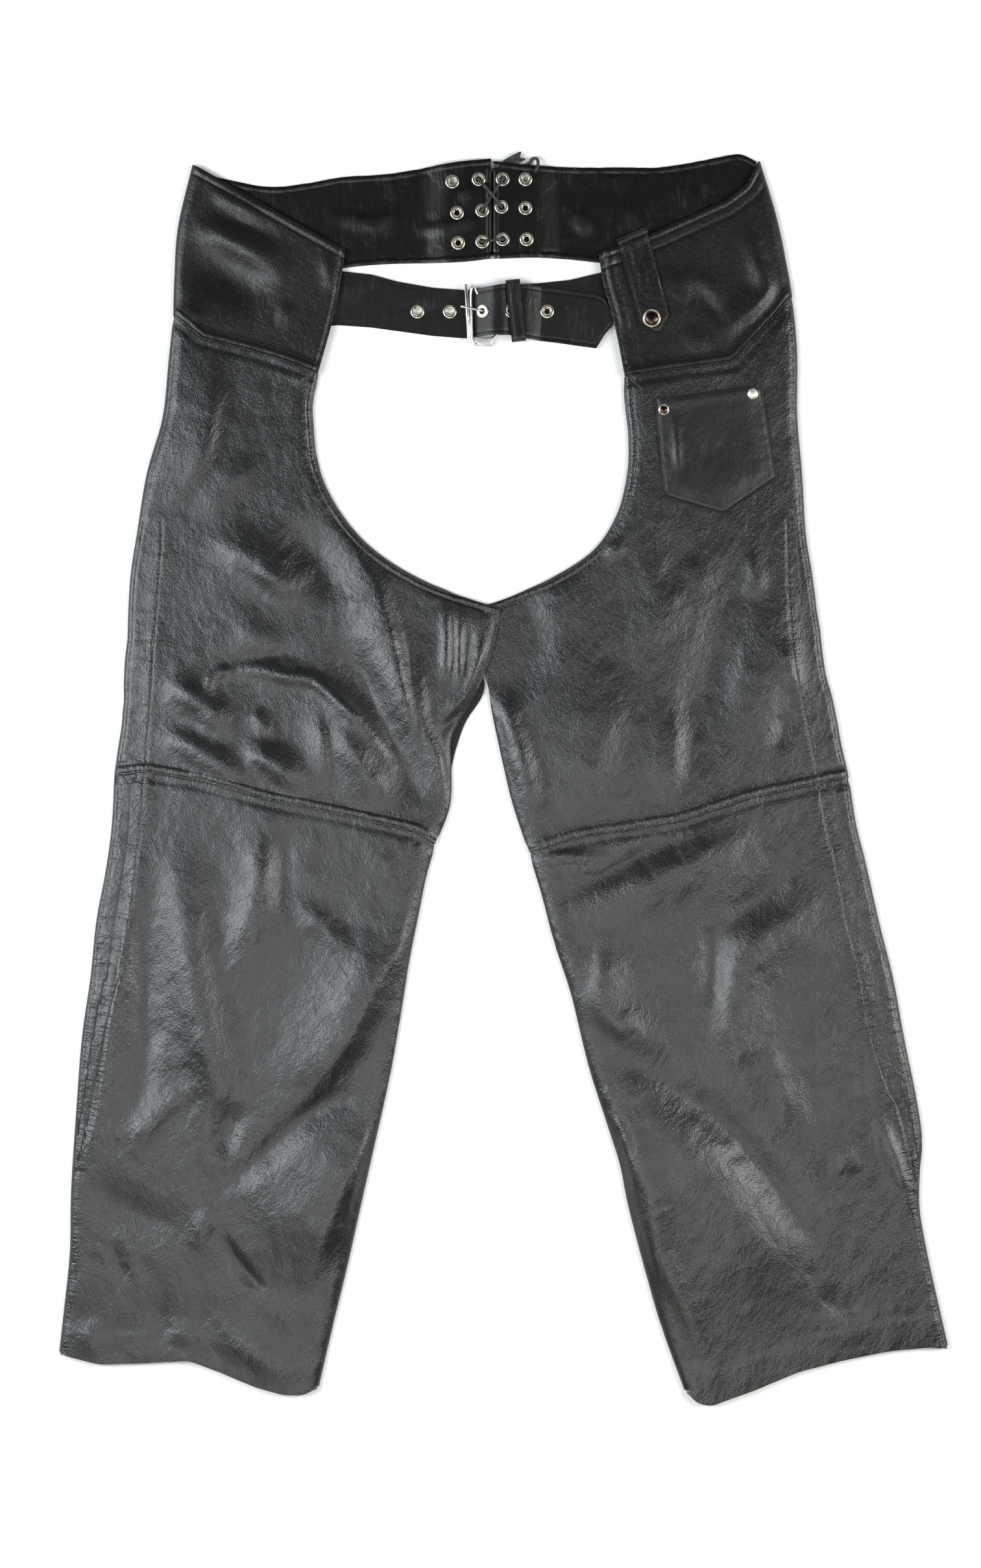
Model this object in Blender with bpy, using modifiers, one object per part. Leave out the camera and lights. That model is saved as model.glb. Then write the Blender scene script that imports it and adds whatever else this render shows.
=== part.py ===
"""Leather chaps laid flat on their back, waist towards +Y and front up, in metres.

Each leg is a flattened tube: a flat back panel on the ground and a front panel whose sides round down to it.
A yoke closes each leg's top, a laced band joins the yokes behind, and a buckled belt joins them in front.
"""

import math

import bmesh
import bpy
import numpy as np
from mathutils import Vector
from mathutils.bvhtree import BVHTree

MM = 0.001  # every size below is in millimetres

# Driving dimensions
GAP = 0.3  # between pieces that touch
HIDE = 1.6  # garment leather
BELT = 2.4  # the belt's tongue
STRAP = 2.0  # the belt's short strap, which folds round the buckle
LOFT = 3.5  # how far a front panel stands off its back panel
LAID = HIDE + GAP  # the lowest that a piece lies on a back panel
SEAM = 0.6  # between panels that are sewn edge to edge
RIM = (0, 2.5, 8)  # stations near an edge, where a panel rounds down
ACROSS = 18  # stations across a front panel, less one
BACK_ACROSS = 6  # and across a back one
BAND_RISE = 3.2  # the lace passes under the middle of the back band
LACE = 2.8

EYELET = {"flange": 5.7, "hole": 2.25, "barrel": 2.9, "height": 0.7}
RIVET = {"radius": 4.65, "height": 2.0}
SNAP = {"radius": 7.7, "height": 3.2}

# Panels, a row for each station down the leg: the outer edge's x, y and the inner edge's x, y
YOKE_LEFT = [(-258, 512, -132, 441), (-270, 460, -137, 409), (-273, 417, -144, 377), (-274, 386, -155, 338)]
YOKE_RIGHT = [(212, 515, 79, 438), (226, 468, 83, 413), (235, 425, 92, 380), (239, 402, 101, 335)]
ARCH_LEFT = [
    (-274, 386, -155, 338),
    (-278, 347, -160, 317),
    (-283, 301, -160, 298),
    (-296, 255, -155, 259),
    (-304, 206, -137, 222),
    (-309, 174, -108, 190),
    (-311, 147, -63, 163),
    (-312, 117, -2, 142),
]
ARCH_RIGHT = [
    (239, 402, 101, 335),
    (243, 355, 102, 314),
    (243, 303, 105, 286),
    (247, 255, 104, 255),
    (250, 206, 95, 220),
    (255, 174, 75, 190),
    (258, 152, 40, 167),
    (259, 143, 7, 153),
    (262, 125, -27, 141),
]
INSEAM_LEFT = [
    (-312, 117, -2, 142),
    (-314, 101, -8, 112),
    (-315, 82, -21, 77),
    (-315, 67, -38, 49),
    (-316, 56, -45, 32),
    (-317, 44, -45, 12),
    (-320, 25, -46, -21),
    (-323, 4, -58, -53),
]
INSEAM_RIGHT = [
    (262, 125, -27, 141),
    (264, 106, -22, 109),
    (267, 87, -13, 77),
    (272, 69, -6, 44),
    (276, 50, 1, 12),
    (280, 28, 9, -21),
    (286, 2, 22, -60),
]
SHIN_LEFT = [
    (-323, 4, -58, -53),
    (-325, -37, -66, -81),
    (-330, -75, -73, -115),
    (-338, -118, -80, -150),
    (-343, -166, -88, -200),
    (-350, -215, -97, -250),
    (-355, -280, -111, -312),
    (-359, -342, -122, -361),
    (-360, -393, -132, -406),
    (-365, -442, -143, -451),
    (-369, -478, -156, -507),
]
SHIN_RIGHT = [
    (286, 2, 22, -60),
    (292, -37, 33, -96),
    (300, -69, 43, -134),
    (311, -118, 57, -177),
    (323, -166, 67, -218),
    (332, -215, 74, -245),
    (342, -264, 88, -288),
    (347, -299, 98, -320),
    (345, -328, 104, -350),
    (345, -358, 112, -382),
    (351, -393, 121, -415),
    (360, -434, 132, -453),
    (369, -473, 153, -511),
]
# The back panels follow the front ones but for their inner edges
BACK_ARCH_LEFT = [
    (-274, 384, -162, 419.6),
    (-278, 347, -163, 370),
    (-283, 301, -162, 310),
    (-296, 255, -154, 262),
    (-304, 206, -140, 219),
    (-309, 174, -111, 187),
    (-311, 147, -67, 160),
    (-312, 117, -30, 140),
]
BACK_ARCH_RIGHT = [
    (239, 401.8, 107, 428),
    (243, 355, 106, 370),
    (243, 303, 107, 310),
    (247, 255, 106, 255),
    (250, 206, 97, 217),
    (255, 174, 77, 187),
    (258, 152, 42, 164),
    (262, 125, -25, 138),
]
BACK_INSEAM_LEFT = [
    (-312, 117, -30, 140),
    (-314, 101, -26, 110),
    (-315, 82, -16, 77),
    (-315, 67, -31, 50),
    (-316, 56, -37, 35),
    (-317, 44, -43, 13),
    (-320, 25, -47, -21),
    (-323, 4, -59, -53),
]
BACK_INSEAM_RIGHT = [
    (262, 125, -25, 138),
    (264, 106, -20, 109),
    (267, 87, -12, 77),
    (272, 69, -5, 44),
    (276, 50, 2, 12),
    (280, 28, 10, -21),
    (286, 2, 23, -60),
]
# The back band, from the lacing outwards: its top edge's x, y and its bottom edge's x, y
BAND_LEFT = [
    (-11, 517, -11, 434),
    (-41, 514, -41, 431),
    (-93, 505, -93, 430),
    (-134, 502, -130, 427),
    (-163, 497, -166, 420),
    (-196, 494, -203, 411),
    (-239, 502, -241, 400),
    (-256, 509, -272, 385),
]
BAND_RIGHT = [
    (-8, 515, -8, 434),
    (20, 512, 24, 435),
    (61, 510, 51, 434),
    (97, 510, 80, 431),
    (127, 510, 121, 427),
    (151, 513, 153, 421),
    (177, 518, 185, 415),
    (196, 521, 212, 409),
    (210, 515, 237, 403),
]
# How far a seam bows off the straight line between its ends: share of the way from the outer edge, and y
YOKE_SEAM_LEFT = [(0, 0), (0.19, -9.7), (0.53, -3.5), (0.77, -0.5), (1, 0)]
YOKE_SEAM_RIGHT = [(0, 0), (0.08, -9), (0.35, -31), (0.78, -10), (1, 0)]
YOKE_TOP_RIGHT = [(0, 0), (0.07, -15), (0.2, -18), (0.64, -10), (1, 0)]
KNEE_LEFT = [(0, 0), (0.09, 8.6), (0.27, 10.6), (0.48, 7), (0.7, 8), (0.95, 7.6), (1, 0)]
KNEE_RIGHT = [(0, 0), (0.3, 1.7), (0.53, -4), (0.85, 2.7), (1, 0)]
HEM_LEFT = [(0, 0), (0.15, -4), (0.34, 2.6), (0.5, 9), (0.62, 3), (0.76, -5.6), (0.87, -9), (0.95, -7), (1, 0)]
HEM_RIGHT = [(0, 0), (0.07, 4), (0.22, 6.3), (0.4, 5), (0.57, 1.5), (0.74, -7.7), (0.91, -15), (0.97, -10), (1, 0)]
BACK_TOP_LEFT = [(0, 0), (0.3, 4.4), (0.63, 3.4), (1, 0)]
BACK_TOP_RIGHT = [(0, 0), (0.2, 0.9), (0.41, 1.5), (0.65, 1.1), (0.89, 0.6), (1, 0)]
LEVEL = [(0, 0), (1, 0)]
FADE = 70  # a seam's bow dies out this far from the seam
LAP = {"x": -16, "y": 120, "reach": 40, "fade": 30, "rise": 2.4}  # where the crotch corners lie on each other

# Folds: how wide and how high (a trough is negative), and the line that it follows
FOLDS_LEFT = [
    (9, 2.4, [(-246, 76), (-229, 87), (-201, 91), (-164, 85), (-141, 62)]),
    (9, 3.0, [(-141, 68), (-119, 43), (-96, 14), (-82, -11)]),
    (10, -3.2, [(-153, 136), (-139, 105), (-107, 71), (-85, 28), (-68, -11)]),
    (10, 4.4, [(-119, 136), (-99, 96), (-82, 51), (-74, 15), (-48, -25)]),
    (8, -2.0, [(-68, 136), (-60, 75), (-51, 15)]),
    (9, 2.2, [(-47, 131), (-38, 100), (-36, 71)]),
    (30, 1.8, [(-215, 330), (-222, 240), (-235, 150)]),
    (26, 1.6, [(-235, -30), (-250, -160), (-240, -300)]),
    (18, 1.8, [(-130, -90), (-160, -190), (-200, -290)]),
    (20, -1.6, [(-190, -110), (-205, -220), (-175, -330), (-190, -440)]),
    (16, 1.6, [(-215, -500), (-230, -420), (-250, -350)]),
]
FOLDS_RIGHT = [
    (26, 1.8, [(170, 190), (150, 120), (120, 40)]),
    (20, -1.6, [(215, 170), (190, 90), (170, 0)]),
    (18, 1.8, [(60, 140), (80, 70), (95, -10)]),
    (22, -1.8, [(55, -125), (120, -210), (200, -300)]),
    (22, 1.8, [(110, -110), (190, -200), (290, -270)]),
    (18, 1.8, [(140, -330), (180, -400), (190, -480)]),
    (16, -1.4, [(230, -330), (250, -410), (270, -480)]),
]

# Trims
POCKET = [(125, 316, 215, 329), (129, 275, 221, 290), (133, 235, 228, 251)]
POCKET_POINT = [(0, 0), (0.53, -23), (1, 0)]
POCKET_RIVETS = [(129, 312), (211, 325)]
TAB = {"top": (107, 452.5), "point": (129, 370), "wide": 26, "shoulder": 0.8, "inside": 10, "slant": 0.15}
SNAP_AT = (123, 384)
EYELETS_LEFT = [(-43, 498), (-39, 472), (-38, 447), (-21, 500), (-18, 474), (-18, 448)]
EYELETS_RIGHT = [(-1, 500), (-2, 477), (-1, 450), (18, 500), (18, 476), (19, 450)]
# The belt: x, its top edge's y, its bottom edge's y and its underside's height
TONGUE = [
    (-185, 414, 371, LAID),
    (-156, 420, 377, LAID),
    (-138, 424, 379, 0),
    (-110, 421, 377, 0),
    (-88, 415, 374, 0),
    (-59, 410, 370, 0),
    (-32, 408, 368, 0),
    (-25, 409, 369, 0.2),
    (-19, 409.5, 369.5, 3.0),
    (-14, 410, 370, 6.0),
    (-9, 411, 370.5, 8.3),
    (-1, 412.5, 371, 8.3),
    (3, 412.8, 370.5, 6.9),
    (6, 413, 370, 6.5),
    (19, 412, 367.5, 6.5),
    (23, 411.5, 367, 5.3),
    (25.5, 411.2, 366.5, 4.8),
    (30, 410.6, 365.7, 2.3),
    (45, 409, 364, 2.3),
    (62, 406.5, 361.5, 2.3),
    (77, 404.5, 359.5, 2.3),
    (84, 401, 371, 2.3),
    (91, 387, 379, 2.3),
]
BELT_EYELETS = [-72, -45, 36]
BELT_MIDDLE = 390
BAR = {"end": (-4, 3.8), "outer": (-28, 5.4), "wire": 1.5, "low": 363.3, "high": 414}
ROLLER = {"inner": 1.8, "outer": 2.7, "long": 42}
KEEPER = {"at": (10, 390.6), "wide": 11, "wall": 1.2, "inside": 49.5, "low": 2.3, "high": 11.2, "turn": 6}
PRONG_SLOT = 4.0

BLACK = (0.045, 0.05, 0.055)
DARK = (0.03, 0.033, 0.036)
NICKEL = (0.72, 0.7, 0.64)
CHROME = (0.8, 0.8, 0.8)


def clear_scene():
    for old in list(bpy.data.objects):
        bpy.data.objects.remove(old)


def collection(name):
    made = bpy.data.collections.new(name)
    bpy.context.scene.collection.children.link(made)
    return made


def material(name, colour, metallic, roughness):
    made = bpy.data.materials.new(name)
    made.use_nodes = True
    shader = made.node_tree.nodes["Principled BSDF"]
    shader.inputs["Base Color"].default_value = (*colour, 1)
    shader.inputs["Metallic"].default_value = metallic
    shader.inputs["Roughness"].default_value = roughness
    return made


def finish(made, name, colour, metallic=0.0, roughness=0.55):
    """Names an object, puts it in the chaps' collection and gives it its own material."""
    made.name = name
    made.data.name = name
    made.data.materials.clear()
    made.data.materials.append(material(name, colour, metallic, roughness))
    for old in list(made.users_collection):
        old.objects.unlink(made)
    CHAPS.objects.link(made)
    return made


def smooth(t):
    t = min(max(t, 0.0), 1.0)
    return t * t * (3 - 2 * t)


def along(table, t):
    """The row a share t of the way down a table, on a Catmull-Rom curve through its rows."""
    rows = np.array(table, float)
    last = len(rows) - 1
    at = min(max(t, 0.0), 1.0) * last
    i = min(int(at), last - 1)
    f = at - i
    a, b, c, d = (rows[min(max(k, 0), last)] for k in (i - 1, i, i + 1, i + 2))
    if i == 0:
        a = 2 * b - c
    if i == last - 1:
        d = 2 * c - b
    return 0.5 * (2 * b + (c - a) * f + (2 * a - 5 * b + 4 * c - d) * f**2 + (3 * b - a - 3 * c + d) * f**3)


def bow(table, share):
    shares, offsets = zip(*table)
    return float(np.interp(share, shares, offsets))


def chain_row(chain, v):
    """The row a share v of the way down a panel whose tables each have some of its grid's rows."""
    at = min(max(v, 0.0), 1.0) * sum(rows for _, rows in chain)
    for table, rows in chain:
        if at <= rows + 0.001 or table is chain[-1][0]:
            return along(table, at / rows)
        at -= rows


def edge(tables, side, samples=60):
    """The points down one side of a chain of panel tables."""
    first = 0 if side == "outer" else 2
    return np.array([along(t, k / samples)[first : first + 2] for t in tables for k in range(samples + 1)])


def distance(line, x, y):
    """How far a point is from a line of points."""
    a, b = line[:-1], line[1:]
    d = b - a
    t = ((np.array((x, y)) - a) * d).sum(1) / np.maximum((d * d).sum(1), 1e-9)
    near = a + np.clip(t, 0, 1)[:, None] * d
    return float(np.hypot(x - near[:, 0], y - near[:, 1]).min())


def rounding(away, radius):
    """0 at an edge and 1 a radius in from it, on a quarter ellipse."""
    inside = min(max(away / radius, 0.0), 1.0)
    return math.sqrt(1 - (1 - inside) ** 2)


def drawn(folds):
    """The folds with their lines as smooth rows of points."""
    return [(wide, high, np.array([along(line, k / 24) for k in range(25)])) for wide, high, line in folds]


def folded(folds, x, y):
    """How far the folds raise or lower the leather at a point."""
    rise = 0.0
    for wide, high, points in folds:
        away = np.hypot(x - points[:, 0], y - points[:, 1])
        nearest = int(away.argmin())
        taper = smooth(min(nearest, 24 - nearest) / 6 + 0.15)
        rise += high * taper * math.exp(-((away[nearest] / wide) ** 2))
    return rise


def lapped(x, y):
    """1 where the left leg's crotch corner lies on the right one's, and 0 well away from it."""
    return smooth(1 - (math.hypot(x - LAP["x"], y - LAP["y"]) - LAP["reach"]) / LAP["fade"])


def stations(count, wide):
    """Places across a panel: close together at both edges, where it rounds down, and even between them."""
    rim = np.array(RIM, float)
    middle = np.linspace(rim[-1], wide - rim[-1], count + 1 - 2 * (len(rim) - 1))
    return np.concatenate([rim[:-1], middle, (wide - rim[:-1])[::-1]]) / wide


def leather(name, columns, rows, place, thick, colour=BLACK, grow=1):
    """A wall on a grid: place(u, v) gives each point in millimetres, and Solidify grows it upwards."""
    bpy.ops.mesh.primitive_grid_add(x_subdivisions=columns, y_subdivisions=rows, size=1)
    made = finish(bpy.context.object, name, colour)
    for vertex in made.data.vertices:
        vertex.co = Vector(place(vertex.co.x + 0.5, vertex.co.y + 0.5)) * MM
    made.data.update()
    if sum(p.normal.z * p.area for p in made.data.polygons) < 0:
        made.data.flip_normals()
    wall = made.modifiers.new("Wall", "SOLIDIFY")
    wall.thickness = thick * MM
    wall.offset = grow
    wall.use_even_offset = True
    made.data.shade_smooth()
    return made


def panel_point(chain, share, v, seams):
    """A point of a panel in plan: a share of the way across a row, with the seams at both ends bowed."""
    row, first, last = (chain_row(chain, t) for t in (v, 0, 1))
    y = row[1] + (row[3] - row[1]) * share
    for bows, end in zip(seams, (first, last)):
        away = np.hypot(*(row + np.roll(row, 2) - end - np.roll(end, 2))[:2]) / 2
        y += bow(bows, share) * (1 - smooth(away / FADE))
    return row[0] + (row[2] - row[0]) * share, y


def front_panel(name, chain, seams, outline, folds, radii, lap=0):
    """A front panel: it stands off the back panel and rounds down to it along the leg's edges.

    lap is 1 on the leg whose crotch corner lies on the other's, and -1 on the other.
    """
    rows = sum(n for _, n in chain)

    def place(u, v):
        first = chain_row(chain, v)
        wide = math.hypot(first[2] - first[0], first[3] - first[1])
        share = stations(ACROSS, wide)[round(u * ACROSS)]
        x, y = panel_point(chain, share, v, seams)
        rise, rim = LOFT, 1.0
        for line, radius in zip(outline, radii):
            rise *= rounding(distance(line, x, y), radius)
            rim *= smooth(distance(line, x, y) / (2 * radius))
        rise += folded(folds, x, y) * rim
        if lap:
            rise = rise * (1 - lapped(x, y)) + (LAP["rise"] * lapped(x, y) if lap > 0 else 0)
        return x, y - SEAM * (1 - v), LAID + max(rise, 0)

    return leather(name, ACROSS, rows, place, HIDE)


def back_panel(name, chain, seams, insets):
    """A back panel, flat on the ground, drawn in from the front panel's outer and inner edges."""
    rows = sum(n for _, n in chain)

    def place(u, v):
        x, y = panel_point(chain, u, v, seams)
        row = chain_row(chain, v)
        inwards = math.copysign(1, row[2] - row[0])
        return x + inwards * (insets[0] * (1 - u) - insets[1] * u), y - SEAM * (1 - v), 0

    return leather(name, BACK_ACROSS, rows, place, HIDE)


def surface(made):
    """A search tree of an object's finished faces."""
    done = made.evaluated_get(bpy.context.evaluated_depsgraph_get())
    mesh = done.to_mesh()
    tree = BVHTree.FromPolygons([v.co.copy() for v in mesh.vertices], [tuple(p.vertices) for p in mesh.polygons])
    done.to_mesh_clear()
    return tree


def highest(trees, x, y, reach):
    """The highest that finished pieces stand near a point, in millimetres, or None beside them."""
    best = None
    for dx, dy in ((0, 0), (reach, 0), (-reach, 0), (0, reach), (0, -reach)):
        for tree in trees:
            hit = tree.ray_cast(Vector(((x + dx) * MM, (y + dy) * MM, 1)), Vector((0, 0, -1)))[0]
            if hit is not None:
                best = max(hit.z / MM, best or 0.0)
    return best


def turned(name, profile, at, colour, metallic, steps=16, tilt=(0, 0, 0), closed=False):
    """A turned piece: a profile of radius and height, run down its outer side, with Screw."""
    mesh = bpy.data.meshes.new(name)
    edges = [(i, i + 1) for i in range(len(profile) - 1)]
    if closed:
        edges.append((len(profile) - 1, 0))
    mesh.from_pydata([(r * MM, 0, z * MM) for r, z in profile], edges, [])
    made = bpy.data.objects.new(name, mesh)
    finish(made, name, colour, metallic, 0.25)
    made.location = Vector(at) * MM
    made.rotation_euler = tilt
    turn = made.modifiers.new("Turn", "SCREW")
    turn.steps = steps
    turn.render_steps = steps
    turn.use_merge_vertices = True
    turn.merge_threshold = 0.00001
    turn.use_smooth_shade = True
    return made


def eyelet(name, x, y, top):
    """A pressed eyelet: a rounded flange on the leather and a barrel through it."""
    flange, hole, barrel, height = (EYELET[k] for k in ("flange", "hole", "barrel", "height"))
    low = -HIDE - GAP + 0.2
    profile = [
        (flange - 1.0, height),
        (flange, 0),
        (barrel, 0),
        (barrel, low),
        (hole, low),
        (hole, height),
    ]
    return turned(name, profile, (x, y, top + GAP), NICKEL, 1.0, 12, closed=True)


def dome(name, size, at):
    """A domed cap with a rolled rim."""
    radius, height = size["radius"], size["height"]
    profile = [(0, height)]
    profile += [(radius * 0.8 * math.sin(a), height * (0.35 + 0.65 * math.cos(a))) for a in (0.5, 1.0, 1.45)]
    profile += [(radius * 0.95, height * 0.5), (radius, height * 0.2), (radius * 0.96, 0), (0, 0)]
    return turned(name, profile, at, CHROME, 1.0, 16)


def wire(name, points, radius, colour, metallic, cyclic=False, sides=2):
    """A round wire along points, as a mesh with welded caps."""
    curve = bpy.data.curves.new(name, "CURVE")
    curve.dimensions = "3D"
    curve.bevel_depth = radius * MM
    curve.bevel_resolution = sides
    curve.use_fill_caps = True
    spline = curve.splines.new("POLY")
    spline.points.add(len(points) - 1)
    for point, place in zip(spline.points, points):
        point.co = (*(c * MM for c in place), 1)
    spline.use_cyclic_u = cyclic
    guide = bpy.data.objects.new(name, curve)
    CHAPS.objects.link(guide)
    done = guide.evaluated_get(bpy.context.evaluated_depsgraph_get())
    mesh = bpy.data.meshes.new_from_object(done)
    bpy.data.objects.remove(guide)
    welded = bmesh.new()
    welded.from_mesh(mesh)
    bmesh.ops.remove_doubles(welded, verts=welded.verts, dist=0.00001)
    welded.to_mesh(mesh)
    welded.free()
    return finish(bpy.data.objects.new(name, mesh), name, colour, metallic, 0.3)


def box(name, low, high, turn=0.0):
    """A cutter box between two corners, in millimetres."""
    low, high = Vector(low), Vector(high)
    bpy.ops.mesh.primitive_cube_add(size=1, location=(low + high) / 2 * MM)
    made = bpy.context.object
    made.scale = (high - low) * MM
    made.rotation_euler.z = turn
    return as_cutter(made, name)


def rod(name, x, y, radius):
    """A round upright cutter."""
    bpy.ops.mesh.primitive_cylinder_add(vertices=14, radius=radius * MM, depth=0.05, location=(x * MM, y * MM, 0))
    return as_cutter(bpy.context.object, name)


def as_cutter(made, name):
    made.name = name
    for old in list(made.users_collection):
        old.objects.unlink(made)
    CUTTERS.objects.link(made)
    made.hide_render = True
    made.display_type = "WIRE"
    return made


def cut(made, cutter):
    hole = made.modifiers.new(cutter.name, "BOOLEAN")
    hole.object = cutter
    hole.operation = "DIFFERENCE"


def leg(side, tables, folds, seams, lap):
    """One leg: front and back thigh panels and front and back shin panels."""
    yoke, arch, inseam, shin, back_arch, back_inseam = tables
    yoke_seam, back_top, knee, hem = seams
    outline = (edge([yoke, arch, inseam, shin], "outer"), edge([arch, inseam, shin], "inner"))
    folds = drawn(folds)
    thigh = [(arch, 10), (inseam, 6)]
    back_thigh = [(back_arch, 7), (back_inseam, 5)]
    front_panel(f"thigh_front_{side}", thigh, (yoke_seam, knee), outline, folds, (9, 16), lap)
    front_panel(f"shin_front_{side}", [(shin, 12)], (knee, hem), outline, folds, (9, 9))
    back_panel(f"thigh_back_{side}", back_thigh, (back_top, knee), (3, 0))
    back_panel(f"shin_back_{side}", [(shin, 7)], (knee, hem), (3, 3))


def yoke(side, table, seams, below, radius):
    """A yoke's front: it rounds over the side fold, and its front edge stands open over the belt."""
    outer = edge([table, below], "outer")
    front_panel(f"yoke_front_{side}", [(table, 5)], seams, (outer,), [], (radius,))


def band_height(x):
    """How high the back band lies: flat, but for its middle, which lies on the lace."""
    return BAND_RISE * smooth((60 - abs(x + 10)) / 25)


def band(side, table, eyelets):
    """Half of the back yoke, from the lacing to the side fold, with its column of eyelets."""

    def place(u, v):
        x0, y0, x1, y1 = along(table, v)
        x = x0 + (x1 - x0) * u
        return x, y0 + (y1 - y0) * u, band_height(x)

    made = leather(f"yoke_back_{side}", 5, 14, place, HIDE)
    for number, (x, y) in enumerate(eyelets, 1):
        cut(made, rod(f"cut_eyelet_{side}_{number}", x, y, EYELET["barrel"] + GAP))
        eyelet(f"eyelet_{side}_{number}", x, y, band_height(x) + HIDE)


def lace():
    """The thong that draws the two back yokes together, with both of its ends free above them."""
    low = LACE / 2 + 0.2
    high = BAND_RISE + HIDE + GAP + EYELET["height"] + GAP + LACE / 2
    over = high + LACE + GAP
    upper_left, middle_left, lower_left = EYELETS_LEFT[3:]
    upper_right, middle_right, lower_right = EYELETS_RIGHT[:3]

    def through(hole, before, after, rising):
        """The points where the lace turns through an eyelet from one side of the leather to the other."""
        (x, y), turn = hole, 1.0
        heights = (low, low + turn, high - turn, high)
        places = [before, hole, hole, after]
        points = []
        for height, place in zip(heights if rising else heights[::-1], places):
            away = math.hypot(place[0] - x, place[1] - y) or 1
            points.append((x + (place[0] - x) / away * turn, y + (place[1] - y) / away * turn, height))
        return points

    points = [(26, 506, 6.8), (28, 510, 6.8), (28.5, 514.5, 6), (27, 517.5, 4), (23.5, 517, 2.1), (20, 513, low)]
    points += through(upper_right, (20, 513), middle_left, True)
    points += through(middle_left, upper_right, lower_left, False)
    points += through(lower_left, middle_left, lower_right, True)
    points += through(lower_right, lower_left, middle_right, False)
    points += through(middle_right, lower_right, upper_left, True)
    cross = ((middle_right[0] + upper_left[0]) / 2, (middle_right[1] + upper_left[1]) / 2)
    points += [(cross[0] + 4, cross[1] - 4.8, over), (cross[0] - 4, cross[1] + 4.8, over)]
    points += through(upper_left, middle_right, (0, 516), False)
    points += [(-8, 508.6, low), (1, 515.4, low), (7, 518.8, 2.2), (13, 520.2, 3.4)]
    wire("lace", points, LACE / 2, DARK, 0.0)


def pocket(thigh):
    """The coin pocket, laid on the thigh, and the rivets at its top corners."""

    def place(u, v):
        x0, y0, x1, y1 = along(POCKET, v)
        x = x0 + (x1 - x0) * u
        y = y0 + (y1 - y0) * u + bow(POCKET_POINT, u) * v**2
        return x, y, highest([thigh], x, y, 4) + GAP

    made = leather("coin_pocket", 10, 10, place, 1.4, DARK)
    skin = surface(made)
    for number, (x, y) in enumerate(POCKET_RIVETS, 1):
        inward = (x + (4 if number == 1 else -4), y - 4)
        dome(f"pocket_rivet_{number}", RIVET, (*inward, highest([skin], *inward, 4) + GAP))


def snap_tab(skin):
    """The tab that folds over the right yoke's top edge and snaps down on its front."""
    top, point = Vector(TAB["top"]), Vector(TAB["point"])
    axis = (point - top).normalized()
    across = Vector((-axis.y, axis.x))
    long = (point - top).length
    inside = LAID + LOFT - GAP - HIDE / 2
    outside = LAID + LOFT + HIDE + GAP + HIDE / 2

    def place(u, v):
        run = v * (long + TAB["inside"] + 6) - TAB["inside"] - 6
        side = (u - 0.5) * TAB["wide"]
        down = max(run, 0)
        down += (run < -6) * (-6 - run)
        point_share = smooth((down / long - TAB["shoulder"]) / (1 - TAB["shoulder"])) if run > 0 else 0
        side *= 1 - 0.94 * point_share
        if run < -6:
            height = inside
        elif run < 0:
            turn = math.pi * (-run / 6)
            height = (inside + outside) / 2 + (outside - inside) / 2 * math.cos(turn)
            down = -2.4 * math.sin(turn)
        else:
            height = outside
        down -= TAB["slant"] * side * (1 - smooth(run / long))
        place_at = top + axis * down + across * side
        if run > 0:
            height = highest([skin], *place_at, 3) or 0
            height = max(height + GAP + HIDE / 2, outside)
        return place_at.x, place_at.y, height

    made = leather("snap_tab", 4, 20, place, HIDE, BLACK, grow=0)
    height = highest([surface(made)], *SNAP_AT, 5)
    dome("snap_cap", SNAP, (*SNAP_AT, height + GAP))


def belt():
    """The belt across the front: tongue, short strap, roller buckle and keeper."""

    def tongue(u, v):
        x, top, bottom, height = np.array([np.interp(v, np.linspace(0, 1, len(TONGUE)), c) for c in zip(*TONGUE)])
        return x, top + (bottom - top) * u, height

    made = leather("belt_tongue", 4, len(TONGUE) - 1, tongue, BELT, DARK)
    low, high = (BELT_MIDDLE - PRONG_SLOT / 2, BELT_MIDDLE + PRONG_SLOT / 2)
    cut(made, box("cut_prong_hole", (-21.5, low, -1), (-8.2, high, 14)))
    for number, x in enumerate(BELT_EYELETS, 1):
        height = highest([surface(made)], x, BELT_MIDDLE, 0)
        cut(made, rod(f"cut_belt_eyelet_{number}", x, BELT_MIDDLE, EYELET["barrel"] + GAP))
        eyelet(f"belt_eyelet_{number}", x, BELT_MIDDLE, height)
    short_strap()
    buckle()


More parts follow.
